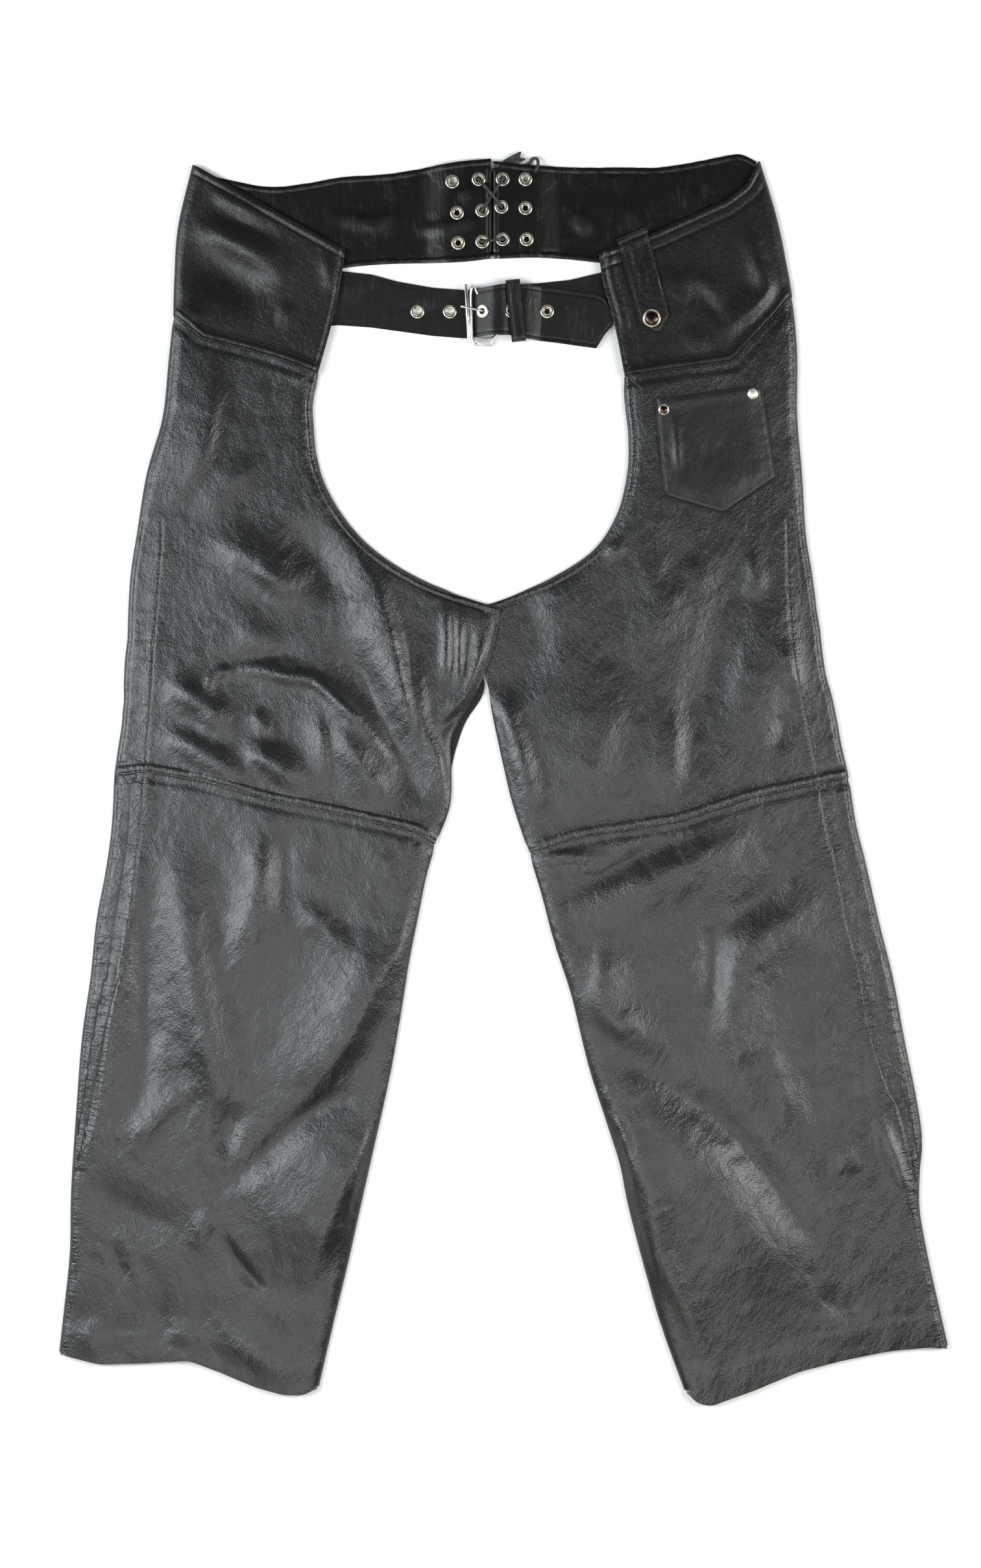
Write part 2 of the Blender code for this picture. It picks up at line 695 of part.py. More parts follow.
def short_strap():
    """The strap that holds the buckle: it folds back round the end bar."""
    x, z = BAR["end"]
    middle = STRAP / 2
    radius = BAR["wire"] + GAP + middle
    edges = [(125, 430, 388), (82, 423, 380), (55, 416.5, 374), (16, 412.5, 371), (2, 410.8, 371), (-8, 410.8, 371)]
    path = [(125, LAID + middle), (104, LAID + middle), (95, middle), (60, middle), (36, middle), (16, middle)]
    path += [(x - radius * math.sin(a), z - radius * math.cos(a)) for a in np.linspace(0, math.pi, 8)]
    path += [(0, 6.4), (3, 5.5), (6, 4.9), (18, 4.9), (21.5, STRAP + GAP + middle + 0.1), (25, STRAP + GAP + middle)]
    xs, tops, bottoms = zip(*reversed(edges))

    def place(u, v):
        px, pz = (float(np.interp(v, np.linspace(0, 1, len(path)), c)) for c in zip(*path))
        top, bottom = np.interp(px, xs, tops), np.interp(px, xs, bottoms)
        return px, top + (bottom - top) * u, pz

    made = leather("belt_short_strap", 4, len(path) - 1, place, STRAP, DARK, grow=0)
    low, high = (BELT_MIDDLE - PRONG_SLOT / 2, BELT_MIDDLE + PRONG_SLOT / 2)
    cut(made, box("cut_prong_slot", (x - 8, low, -1), (x + 6, high, 12)))


def buckle():
    """A roller buckle, fastened: its frame, roller, prong and the keeper beside it."""
    (end_x, end_z), (outer_x, outer_z) = BAR["end"], BAR["outer"]
    corner, points = 4, []
    for sx, sy in ((1, 1), (-1, 1), (-1, -1), (1, -1)):
        start = {(1, 1): 0, (-1, 1): 90, (-1, -1): 180, (1, -1): 270}[(sx, sy)]
        cx = (end_x if sx > 0 else outer_x) - sx * corner
        cy = (BAR["high"] if sy > 0 else BAR["low"]) - sy * corner
        for turn in range(0, 91, 30):
            angle = math.radians(start + turn)
            x = cx + corner * math.cos(angle)
            share = (x - end_x) / (outer_x - end_x)
            points.append((x, cy + corner * math.sin(angle), end_z + (outer_z - end_z) * share))
    wire("buckle_frame", points, BAR["wire"], CHROME, 1.0, cyclic=True)
    half, inner, outer = ROLLER["long"] / 2, ROLLER["inner"], ROLLER["outer"]
    profile = [(inner, half), (outer, half), (outer, -half), (inner, -half)]
    middle = (BAR["low"] + BAR["high"]) / 2
    at = (outer_x, middle, outer_z)
    turned("buckle_roller", profile, at, CHROME, 1.0, 16, (math.pi / 2, 0, 0), closed=True)
    ring, thin = BAR["wire"] + GAP + 1.0, 1.0
    prong = [
        (end_x + ring * math.sin(a), BELT_MIDDLE, end_z - ring * math.cos(a)) for a in np.linspace(-0.9, math.pi, 9)
    ]
    shank = [(-8, 6.8), (-11, 7.4), (-15, 8.7), (-20, 9.4), (-28, 9.5), (-33, 9.2), (-35.5, 8.5)]
    prong += [(x, BELT_MIDDLE, z) for x, z in shank]
    wire("buckle_prong", prong, thin, CHROME, 1.0)
    x, y = KEEPER["at"]
    half_wide, half_inside, wall = KEEPER["wide"] / 2, KEEPER["inside"] / 2, KEEPER["wall"]
    turn = math.radians(KEEPER["turn"])
    outer_low = (x - half_wide, y - half_inside - wall, KEEPER["low"])
    outer_high = (x + half_wide, y + half_inside + wall, KEEPER["high"])
    keeper = box("belt_keeper", outer_low, outer_high, turn)
    bpy.ops.object.transform_apply(location=False, rotation=False, scale=True)
    keeper.hide_render = False
    keeper.display_type = "TEXTURED"
    finish(keeper, "belt_keeper", DARK)
    inner_low = (x - 2 * half_wide, y - half_inside, KEEPER["low"] + wall)
    inner_high = (x + 2 * half_wide, y + half_inside, KEEPER["high"] - wall)
    cut(keeper, box("cut_keeper", inner_low, inner_high, turn))


clear_scene()
CHAPS = collection("leather_chaps")
CUTTERS = collection("cutters")
left = (YOKE_LEFT, ARCH_LEFT, INSEAM_LEFT, SHIN_LEFT, BACK_ARCH_LEFT, BACK_INSEAM_LEFT)
right = (YOKE_RIGHT, ARCH_RIGHT, INSEAM_RIGHT, SHIN_RIGHT, BACK_ARCH_RIGHT, BACK_INSEAM_RIGHT)
leg("left", left, FOLDS_LEFT, (YOKE_SEAM_LEFT, BACK_TOP_LEFT, KNEE_LEFT, HEM_LEFT), 1)
leg("right", right, FOLDS_RIGHT, (YOKE_SEAM_RIGHT, BACK_TOP_RIGHT, KNEE_RIGHT, HEM_RIGHT), -1)
yoke("left", YOKE_LEFT, (LEVEL, YOKE_SEAM_LEFT), ARCH_LEFT, 5)
yoke("right", YOKE_RIGHT, (YOKE_TOP_RIGHT, YOKE_SEAM_RIGHT), ARCH_RIGHT, 10)
band("left", BAND_LEFT, EYELETS_LEFT)
band("right", BAND_RIGHT, EYELETS_RIGHT)
lace()
belt()
pocket(surface(bpy.data.objects["thigh_front_right"]))
snap_tab(surface(bpy.data.objects["yoke_front_right"]))
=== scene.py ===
# %% [markdown]
# # Leather chaps, laid flat
# The chaps lie on their back with the waist at the top. This script dresses the imported model: it replaces
# every plain solid with fine leather, thread, lace or metal, and then lights and frames the whole.
# It starts by loading the imported model as a fixed frame.

# %% The frame
import math

import bmesh
import bpy
import numpy as np
from mathutils import Matrix, Vector
from mathutils.bvhtree import BVHTree


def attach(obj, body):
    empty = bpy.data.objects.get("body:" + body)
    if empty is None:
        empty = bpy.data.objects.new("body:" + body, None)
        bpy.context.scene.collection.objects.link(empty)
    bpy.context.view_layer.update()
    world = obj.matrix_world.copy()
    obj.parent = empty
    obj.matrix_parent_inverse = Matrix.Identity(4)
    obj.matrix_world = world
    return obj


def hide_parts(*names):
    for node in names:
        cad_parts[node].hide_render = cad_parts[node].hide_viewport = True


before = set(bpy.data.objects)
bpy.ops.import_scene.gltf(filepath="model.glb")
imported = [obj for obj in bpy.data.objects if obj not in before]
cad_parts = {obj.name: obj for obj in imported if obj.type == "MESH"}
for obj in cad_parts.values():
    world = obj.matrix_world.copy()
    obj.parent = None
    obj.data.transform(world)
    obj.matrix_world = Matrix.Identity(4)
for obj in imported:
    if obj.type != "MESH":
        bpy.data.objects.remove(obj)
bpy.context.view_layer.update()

MM = 0.001
TURN = 2 * math.pi

# %% [markdown]
# ## The camera and the light
# A garment laid on a table is pictured from straight above. A long lens far away keeps the legs from
# leaning outwards, as a short one close by would. The light comes first because black leather has almost
# no colour of its own: its folds are seen only by what they mirror. A big cool lamp on the left and one on
# the right light the floor and the folds' flanks. The smaller ones stand nearly overhead, just far enough
# out that flat leather mirrors them past the camera: a slope of a few degrees turns them into it, and so
# draws the crest of a fold as a bright band. The sky is bright low down and dark above, to keep flats black.

# %% Camera
FRAME_HIGH = 1.3046  # metres from the top of the view to its bottom
LENS, SENSOR = 110, 36
VIEW_MIDDLE = (-0.01107, -0.00324)
MIDDLE_HEIGHT = 0.006  # the leather's own, which the frame is measured at

view = bpy.data.cameras.new("camera")
view.lens = LENS
view.sensor_width = SENSOR
camera = bpy.data.objects.new("camera", view)
camera.location = (*VIEW_MIDDLE, FRAME_HIGH * LENS / SENSOR + MIDDLE_HEIGHT)
bpy.context.scene.collection.objects.link(camera)
bpy.context.scene.camera = camera
print("camera height, m:", round(camera.location.z, 3))


# %% Lamps and sky
def lamp(name, place, aim, size, power, colour):
    """A soft square lamp that faces a point."""
    light = bpy.data.lights.new(name, "AREA")
    light.shape = "RECTANGLE"
    light.size, light.size_y = size
    light.energy = power
    light.color = colour
    made = bpy.data.objects.new(name, light)
    made.visible_camera = False
    made.location = place
    made.rotation_euler = (Vector(aim) - Vector(place)).to_track_quat("-Z", "Y").to_euler()
    bpy.context.scene.collection.objects.link(made)
    return made


COOL = (0.92, 0.97, 1.0)
HORIZON, OVERHEAD = (0.25, 1.0), (0.5, 0.06)  # how high a direction points, and how bright the sky is there

lamp("lamp_key", (-1.7, 0.3, 1.5), (-0.2, 0.0, 0), (1.0, 1.6), 33, COOL)
lamp("lamp_east", (1.7, 0.1, 1.4), (0.3, 0.1, 0), (0.8, 1.6), 28, (1.0, 0.98, 0.95))
lamp("lamp_over_left", (-0.96, -0.04, 1.6), (-0.5, -0.04, 0), (0.4, 0.75), 8.6, (0.9, 0.96, 1.0))
lamp("lamp_over_right", (0.06, -0.6, 1.6), (0.22, -0.4, 0), (0.36, 0.7), 4.3, (1.0, 0.98, 0.94))
lamp("lamp_warm", (-0.3, -1.3, 1.6), (0.15, -0.3, 0), (0.9, 0.6), 3.0, (1.0, 0.95, 0.87))
lamp("lamp_over_east", (1.08, 0.05, 1.6), (0.6, 0.05, 0), (0.3, 1.0), 4.4, (1.0, 0.99, 0.96))
lamp("lamp_pool", (-0.29, -0.2, 1.6), (-0.2, -0.15, 0), (0.24, 0.24), 1.8, COOL)

sky = bpy.data.worlds.new("sky")
sky.use_nodes = True
air = sky.node_tree.nodes
direction = air.new("ShaderNodeTexCoord")
parts = air.new("ShaderNodeSeparateXYZ")
fade = air.new("ShaderNodeMapRange")
fade.interpolation_type = "SMOOTHSTEP"
for place, value in enumerate((HORIZON[0], OVERHEAD[0], HORIZON[1], OVERHEAD[1]), 1):
    fade.inputs[place].default_value = value
sky.node_tree.links.new(direction.outputs["Generated"], parts.inputs[0])
sky.node_tree.links.new(parts.outputs["Z"], fade.inputs[0])
sky.node_tree.links.new(fade.outputs[0], air["Background"].inputs["Strength"])
air["Background"].inputs["Color"].default_value = (0.97, 0.98, 1.0, 1)
bpy.context.scene.world = sky
bpy.context.scene.view_settings.view_transform = "Standard"
bpy.context.scene.view_settings.look = "None"

# %% [markdown]
# ## Shader maths as plain Python
# A material here is a small sum of patterns: grain, streaks, worn crests. Nodes could be wired by hand in
# the editor, but sums are easier to read as sums. `Value` wraps one socket, so `1 - worn * 0.3` adds the
# Math nodes for it, and `Finish` holds a material with one method that makes any other node.


# %% Value and Finish
class Value:
    """One socket of a material, with Python's own arithmetic."""

    def __init__(self, finish, socket):
        self.finish = finish
        self.socket = socket

    def maths(self, operation, *numbers):
        return self.finish.node("ShaderNodeMath", {"operation": operation}, dict(enumerate(numbers)))

    def __add__(self, other):
        return self.maths("ADD", self, other)

    __radd__ = __add__

    def __mul__(self, other):
        return self.maths("MULTIPLY", self, other)

    __rmul__ = __mul__

    def __sub__(self, other):
        return self.maths("SUBTRACT", self, other)

    def __rsub__(self, other):
        return self.maths("SUBTRACT", other, self)

    def above(self, low, high):
        """0 up to low, 1 from high on, and a soft step between."""
        settings = {"interpolation_type": "SMOOTHSTEP"}
        return self.finish.node("ShaderNodeMapRange", settings, {0: self, 1: low, 2: high, 3: 0, 4: 1})


class Finish:
    """A material in the making."""

    def __init__(self, name, **constants):
        self.made = bpy.data.materials.new(name)
        self.made.use_nodes = True
        self.nodes = self.made.node_tree.nodes
        self.shader = self.nodes["Principled BSDF"]
        self.surface(**constants)

    def surface(self, **values):
        """Sets or links the shader's own sockets: base_color=... feeds Base Color."""
        names = {socket.name.lower().replace(" ", "_"): socket for socket in self.shader.inputs}
        for name, value in values.items():
            self.feed(names[name], value)

    def feed(self, socket, value):
        if isinstance(value, Value):
            self.made.node_tree.links.new(value.socket, socket)
        elif hasattr(value, "__len__") and len(value) == 3 and socket.type == "RGBA":
            socket.default_value = (*value, 1)
        else:
            socket.default_value = value

    def node(self, kind, settings=None, sockets=None, out=0):
        """Any node: its settings first, then its sockets' values or links, by name or place."""
        made = self.nodes.new(kind)
        for name, value in (settings or {}).items():
            setattr(made, name, value)
        for name, value in (sockets or {}).items():
            self.feed(made.inputs[name], value)
        return Value(self, made.outputs[out])

    def place(self):
        return self.node("ShaderNodeTexCoord", out="Object")

    def turned(self, place, scale=(1, 1, 1), turn=0.0):
        """The place with the pattern stretched and then turned about Z by an angle in degrees."""
        spun = self.node("ShaderNodeMapping", None, {"Vector": place, "Rotation": (0, 0, math.radians(-turn))})
        return self.node("ShaderNodeMapping", None, {"Vector": spun, "Scale": scale})

    def noise(self, place, size, detail=2.0, rough=0.5):
        """Soft noise whose blotches are about size millimetres across."""
        return self.node(
            "ShaderNodeTexNoise", None, {"Vector": place, "Scale": 1000 / size, "Detail": detail, "Roughness": rough}
        )

    def cells(self, place, size):
        """The distance to the nearest cell's middle, for cells about size millimetres across."""
        return self.node("ShaderNodeTexVoronoi", None, {"Vector": place, "Scale": 1000 / size})

    def attribute(self, name):
        return self.node("ShaderNodeAttribute", {"attribute_name": name}, out="Fac")

    def mix(self, share, first, second):
        """One colour where share is 0 and another where it is 1."""
        settings = {"data_type": "RGBA", "clamp_factor": True}
        return self.node("ShaderNodeMix", settings, {0: share, 6: first, 7: second}, out=2)

    def bump(self, height, depth, strength=1.0):
        """The normal of a surface whose height of 1 is depth millimetres."""
        sockets = {"Height": height, "Distance": depth * MM, "Strength": strength}
        return self.node("ShaderNodeBump", None, sockets)


print("shader tools ready")

# %% [markdown]
# ## Leathers
# Garment leather has a pebble grain of about a millimetre that is drawn out along the hide, finer pores in
# it, and long faint streaks. The `crest` attribute that every panel carries is high on ridges and low in
# valleys. On the ridges the dye is greyer and smoother and in the valleys darker: partly wear where the hide
# stands proud, and partly painted highlight on the ridges and painted shade in the valleys. Beside a seam the
# thread gathers the hide: three more attributes say how far along and away the seam is and how hard it pulls,
# and the finish raises small ridges square to it. The belt and the inside of the waist are an older, drier
# hide with short cracks across them. The cut edges show the raw hide.


# %% Garment leather
def garment_leather(name, deep, worn_and_sheen, streak=0.35, grain_turn=38, gloss=0.31, grain=0.09, shine=0.7):
    """Black pebbled hide. deep and worn_and_sheen are its colour in the valleys and on the crests: partly wear, and
    partly painted shade in the valleys and painted highlight on the crests.

    streak is how plain the long lines are, grain_turn which way the grain runs, in degrees, and grain how
    deep it is, in millimetres.
    """
    hide = Finish(name, specular_ior_level=shine)
    place = hide.place()
    drawn = hide.turned(place, (1, 0.6, 1), grain_turn)
    pebble = hide.cells(drawn, 1.0)
    pores = hide.noise(drawn, 0.7, 3.0, 0.6)
    long_lines = hide.noise(hide.turned(place, (1, 0.2, 1), grain_turn + 8), 3.2, 3.0, 0.55)
    blotch = hide.noise(place, 70, 3.0, 0.55)
    creases = hide.noise(hide.turned(place, (1, 0.45, 1), grain_turn - 12), 6.0, 5.0, 0.6)
    crest = hide.attribute("crest")
    run, away = (hide.attribute(name) for name in ("seam_run", "seam_away"))
    at_seam = hide.node("ShaderNodeCombineXYZ", None, {0: run, 1: away * 0.22})
    sockets = {"Vector": at_seam, "Scale": 0.36, "Detail": 2.5, "Roughness": 0.5}
    gathers = hide.node("ShaderNodeTexNoise", None, sockets)
    wrinkles = hide.noise(hide.turned(place, (1, 0.5, 1), grain_turn - 70), 13, 5.0, 0.62)
    height = wrinkles * 13 + creases * 5 + pores * 0.9 + long_lines * streak * 2 - pebble * (0.6 + blotch * 1.8)
    height = height + gathers * hide.attribute("seam_pull") * 11
    # The crest term lightens the ridges and darkens the valleys: partly wear, and partly painted highlight and painted
    # shade.
    wear_and_sheen = (crest - 0.5) * 0.9 + (long_lines - 0.5) * 0.7 + (blotch - 0.5) * 0.9 + (pebble - 0.5) * 0.5 + 0.4
    colour = hide.mix(wear_and_sheen.above(0.0, 1.0), (*deep, 1), (*worn_and_sheen, 1))
    roughness = gloss + (blotch - 0.5) * 0.12 - (crest - 0.5) * 0.1 + (pebble - 0.5) * 0.08
    hide.surface(base_color=colour, roughness=roughness, normal=hide.bump(height, grain, 0.95))
    return hide.made


LEATHER = garment_leather("leather_black", (0.002, 0.0024, 0.0028), (0.008, 0.0095, 0.0105))
# A warmer copy for the right shin: its warm tint is painted warm light, the colour of the light that falls there.
LEATHER_WARM_LIT = garment_leather("leather_black_warm", (0.0024, 0.0024, 0.0023), (0.0105, 0.0101, 0.0094))
YOKE_LEATHER = garment_leather(
    "leather_yoke", (0.0017, 0.0017, 0.0018), (0.0065, 0.0066, 0.0066),
    streak=0.8, grain_turn=58, gloss=0.34, grain=0.06, shine=0.5,
)
POCKET_LEATHER = garment_leather(
    "leather_smooth", (0.003, 0.0036, 0.004), (0.007, 0.0085, 0.009),
    streak=0.15, gloss=0.36, grain=0.05, shine=0.6,
)
print("leathers:", [m.name for m in bpy.data.materials if m.name.startswith("leather")])


# %% [markdown]
# ## Dry hide and cut edges
# The inside of the band and the belt are a thinner, coated hide that has cracked where it bends. A crack shows
# pale, because the coat is gone and the fibres below catch the light. Painting them by hand would take hours
# and would stretch with the mesh, so two noises drawn out across the strap give cracks that are as fine close
# up as far away. A cut edge has no coat at all: it is only fibre, rough and browner.

# %% Cracked leather and raw edges
def cracked_leather(name, deep, crack, turn, gloss=0.33):
    """An older hide: short pale cracks that run one way, over a dull black."""
    hide = Finish(name, specular_ior_level=0.4)
    place = hide.place()
    crest = hide.attribute("crest")
    lines = hide.noise(hide.turned(place, (1, 0.16, 1), turn), 2.6, 4.0, 0.62)
    wide = hide.noise(hide.turned(place, (1, 0.3, 1), turn), 9.0, 3.0, 0.6)
    pebble = hide.cells(hide.turned(place, (1, 0.5, 1), turn), 1.1)
    patch = hide.noise(place, 26, 2.0, 0.5).above(0.5, 0.62)
    # The crest term pales the ridges: partly wear, and partly painted highlight.
    worn_and_sheen = lines.above(0.52, 0.7) * (patch * 0.75 + 0.25) + (crest - 0.5).above(0.05, 0.6) * 0.5
    colour = hide.mix(worn_and_sheen, (*deep, 1), (*crack, 1))
    height = lines * (patch * 1.6 + 0.5) + wide * 1.2 + pebble * 0.2
    roughness = gloss - worn_and_sheen * 0.08
    hide.surface(base_color=colour, roughness=roughness, normal=hide.bump(height, 0.2, 0.9))
    return hide.made


def raw_edge(name, dark, pale):
    """The cut edge of a hide, fibrous and unpainted."""
    edge_finish = Finish(name, specular_ior_level=0.2)
    fibres = edge_finish.noise(edge_finish.place(), 1.2, 4.0, 0.7)
    colour = edge_finish.mix(fibres.above(0.3, 0.7), (*dark, 1), (*pale, 1))
    edge_finish.surface(base_color=colour, roughness=0.85, normal=edge_finish.bump(fibres, 0.3, 0.6))
    return edge_finish.made


BAND_LEATHER = cracked_leather("leather_cracked_band", (0.0015, 0.0016, 0.0016), (0.02, 0.0203, 0.0206), 4)
BELT_LEATHER = cracked_leather("leather_cracked_belt", (0.0014, 0.0014, 0.0014), (0.02, 0.02, 0.0195), -8, 0.4)
FLESH = raw_edge("hide_flesh_side", (0.012, 0.011, 0.01), (0.03, 0.027, 0.024))
EDGE = raw_edge("hide_cut_edge", (0.02, 0.014, 0.012), (0.09, 0.065, 0.055))
EDGE_DYED = raw_edge("hide_dyed_edge", (0.01, 0.01, 0.01), (0.05, 0.05, 0.052))
print("edges:", EDGE.name, EDGE_DYED.name)

# %% [markdown]
# ## Metals, thread and floor
# The eyelets are pale nickel with a little brass showing through, and the buckle is brighter chrome. The
# snap and one rivet have a dark cap in a bright rim, and the other rivet's cap is satin. Metal is all
# reflection, so its detail is in roughness: fine scratches and duller patches. The thread is black and
# dull, twisted like a small rope.


# %% Metals, thread, lace, floor
def metal(name, colour, tarnish, gloss, scratch=0.06):
    """Plated metal with dull patches and fine scratches."""
    plate = Finish(name, metallic=1.0)
    place = plate.place()
    patches = plate.noise(place, 4.0, 3.0, 0.6)
    lines = plate.noise(plate.turned(place, (1, 0.1, 1), 25), 0.8, 2.0)
    colours = plate.mix(patches.above(0.45, 0.75), (*colour, 1), (*tarnish, 1))
    roughness = gloss + patches * 0.12 + lines * scratch
    plate.surface(base_color=colours, roughness=roughness, normal=plate.bump(lines, 0.02, 0.5))
    return plate.made


def twisted(name, dark, pale, gloss, size):
    """Twisted fibre or a rolled thong: fine slanting strands."""
    strand = Finish(name, specular_ior_level=0.4)
    place = strand.place()
    twist = strand.noise(strand.turned(place, (1, 0.3, 1), 45), size, 3.0)
    colour = strand.mix(twist.above(0.35, 0.7), (*dark, 1), (*pale, 1))
    strand.surface(base_color=colour, roughness=gloss, normal=strand.bump(twist, 0.15, 0.8))
    return strand.made


NICKEL = metal("metal_nickel", (0.78, 0.73, 0.62), (0.5, 0.44, 0.32), 0.14)
CHROME = metal("metal_chrome", (0.82, 0.81, 0.79), (0.6, 0.56, 0.5), 0.1)
STEEL = metal("metal_worn_steel", (0.55, 0.55, 0.55), (0.36, 0.35, 0.34), 0.3)
CAP = metal("metal_dark_cap", (0.075, 0.055, 0.045), (0.045, 0.032, 0.026), 0.16)
THREAD = twisted("thread_black", (0.002, 0.002, 0.0025), (0.009, 0.0095, 0.01), 0.75, 0.5)
THONG = twisted("lace_hide", (0.012, 0.013, 0.012), (0.05, 0.053, 0.05), 0.55, 1.4)
FRAY = twisted("lace_frayed", (0.012, 0.013, 0.01), (0.05, 0.052, 0.04), 0.7, 1.6)
SATIN = metal("metal_satin_cap", (0.8, 0.8, 0.77), (0.62, 0.61, 0.58), 0.4)

paper = Finish("floor_paper", roughness=0.9)
tooth = paper.noise(paper.place(), 3.0, 2.0)
paper.surface(base_color=paper.mix(tooth, (0.9, 0.9, 0.9, 1), (0.94, 0.94, 0.94, 1)))
bpy.ops.object.select_all(action="DESELECT")
bpy.ops.mesh.primitive_plane_add(size=14, location=(0, 0, -0.0002))
floor = bpy.context.object
floor.name = "floor"
bpy.ops.object.transform_apply(location=True, rotation=True, scale=True)
floor.data.materials.append(paper.made)
print("floor laid")

# %% [markdown]
# ## The pattern pieces
# A tailor would cut each panel from a paper pattern. Here a panel's pattern is a table with a row for each
# station down the leg: where its outer edge and its inner edge are, in millimetres. A smooth curve through
# the rows gives the outline, and small bows give the seams between the panels their real curve.

# %% The tables
YOKE = {
    "left": [(-258, 512, -132, 441), (-270, 460, -137, 409), (-273, 417, -144, 377), (-274, 386, -155, 338)],
    "right": [(212, 515, 79, 438), (226, 468, 83, 413), (235, 425, 92, 380), (239, 402, 101, 335)],
}
ARCH = {
    "left": [(-274, 386, -155, 338), (-278, 347, -160, 317), (-283, 301, -160, 298), (-296, 255, -155, 259),
             (-304, 206, -137, 222), (-309, 174, -108, 190), (-311, 147, -63, 163), (-312, 117, -2, 142)],
    "right": [(239, 402, 101, 335), (243, 355, 102, 314), (243, 303, 105, 286), (247, 255, 104, 255),
              (250, 206, 95, 220), (255, 174, 75, 190), (258, 152, 40, 167), (259, 143, 7, 153), (262, 125, -27, 141)],
}
INSEAM = {
    "left": [(-312, 117, -2, 142), (-314, 101, -8, 112), (-315, 82, -21, 77), (-315, 67, -38, 49),
             (-316, 56, -45, 32), (-317, 44, -45, 12), (-320, 25, -46, -21), (-323, 4, -58, -53)],
    "right": [(262, 125, -27, 141), (264, 106, -22, 109), (267, 87, -13, 77), (272, 69, -6, 44),
              (276, 50, 1, 12), (280, 28, 9, -21), (286, 2, 22, -60)],
}
SHIN = {
    "left": [(-323, 4, -58, -53), (-325, -37, -66, -81), (-330, -75, -73, -115), (-338, -118, -80, -150),
             (-343, -166, -88, -200), (-350, -215, -97, -250), (-355, -280, -111, -312), (-359, -342, -122, -361),
             (-360, -393, -132, -406), (-365, -442, -143, -451), (-369, -478, -156, -507)],
    "right": [(286, 2, 22, -60), (292, -37, 33, -96), (300, -69, 43, -134), (311, -118, 57, -177),
              (323, -166, 67, -218), (332, -215, 74, -245), (342, -264, 88, -288), (347, -299, 98, -320),
              (345, -328, 104, -350), (345, -358, 112, -382), (351, -393, 121, -415), (360, -434, 132, -453),
              (369, -473, 153, -511)],
}
BACK_ARCH = {
    "left": [(-274, 384, -162, 419.6), (-278, 347, -163, 370), (-283, 301, -162, 310), (-296, 255, -154, 262),
             (-304, 206, -140, 219), (-309, 174, -111, 187), (-311, 147, -67, 160), (-312, 117, -30, 140)],
    "right": [(239, 401.8, 107, 428), (243, 355, 106, 370), (243, 303, 107, 310), (247, 255, 106, 255),
              (250, 206, 97, 217), (255, 174, 77, 187), (258, 152, 42, 164), (262, 125, -25, 138)],
}
BACK_INSEAM = {
    "left": [(-312, 117, -30, 140), (-314, 101, -26, 110), (-315, 82, -16, 77), (-315, 67, -31, 50),
             (-316, 56, -37, 35), (-317, 44, -43, 13), (-320, 25, -47, -21), (-323, 4, -59, -53)],
    "right": [(262, 125, -25, 138), (264, 106, -20, 109), (267, 87, -12, 77), (272, 69, -5, 44),
              (276, 50, 2, 12), (280, 28, 10, -21), (286, 2, 23, -60)],
}
BAND = {
    "left": [(-11, 517, -11, 434), (-41, 514, -41, 431), (-93, 505, -93, 430), (-134, 502, -130, 427),
             (-163, 497, -166, 420), (-196, 494, -203, 411), (-239, 502, -241, 400), (-256, 509, -272, 385)],
    "right": [(-8, 515, -8, 434), (20, 512, 24, 435), (61, 510, 51, 434), (97, 510, 80, 431), (127, 510, 121, 427),
              (151, 513, 153, 421), (177, 518, 185, 415), (196, 521, 212, 409), (210, 515, 237, 403)],
}
BOWS = {
    "yoke_left": [(0, 0), (0.19, -9.7), (0.53, -3.5), (0.77, -0.5), (1, 0)],
    "yoke_right": [(0, 0), (0.08, -9), (0.35, -31), (0.78, -10), (1, 0)],
    "top_left": [(0, 0), (1, 0)],
    "top_right": [(0, 0), (0.07, -15), (0.2, -18), (0.64, -10), (1, 0)],
    "knee_left": [(0, 0), (0.09, 8.6), (0.27, 10.6), (0.48, 7), (0.7, 8), (0.95, 7.6), (1, 0)],
    "knee_right": [(0, 0), (0.3, 1.7), (0.53, -4), (0.85, 2.7), (1, 0)],
    "hem_left": [(0, 0), (0.15, -4), (0.34, 2.6), (0.5, 9), (0.62, 3), (0.76, -5.6), (0.87, -9), (0.95, -7), (1, 0)],
    "hem_right": [(0, 0), (0.07, 4), (0.22, 6.3), (0.4, 5), (0.57, 1.5), (0.74, -7.7), (0.91, -15), (0.97, -10),
                  (1, 0)],
    "back_left": [(0, 0), (0.3, 4.4), (0.63, 3.4), (1, 0)],
    "back_right": [(0, 0), (0.2, 0.9), (0.41, 1.5), (0.65, 1.1), (0.89, 0.6), (1, 0)],
}
SIDES = ("left", "right")
GAP, HIDE, BELT, STRAP = 0.3, 1.6, 2.4, 2.0  # the room between pieces, and how thick each leather is
LAID, LOFT = 1.9, 3.5  # where a front panel's underside starts, and how far the leg lifts it from there
SEAM, FADE = 0.6, 70  # the gap left at a back panel's top, and how far down a panel its seam's bow reaches
print("pattern rows:", sum(len(t[s]) for t in (YOKE, ARCH, INSEAM, SHIN) for s in SIDES))


# %% [markdown]
# ## From rows to a cloth's plan
# A pattern drawn with straight lines between its rows would have corners at each. These helpers draw the
# smooth curve that a tailor's bent ruler would, turn a distance down and a share across into a point, and
# find how far any point is from a line. The same could be done with Curve objects and a Shrinkwrap, but then
# the grid's columns couldn't be crowded at will where the leather bends most.

# %% Curves through the tables
def smooth(t):
    t = np.clip(t, 0, 1)
    return t * t * (3 - 2 * t)


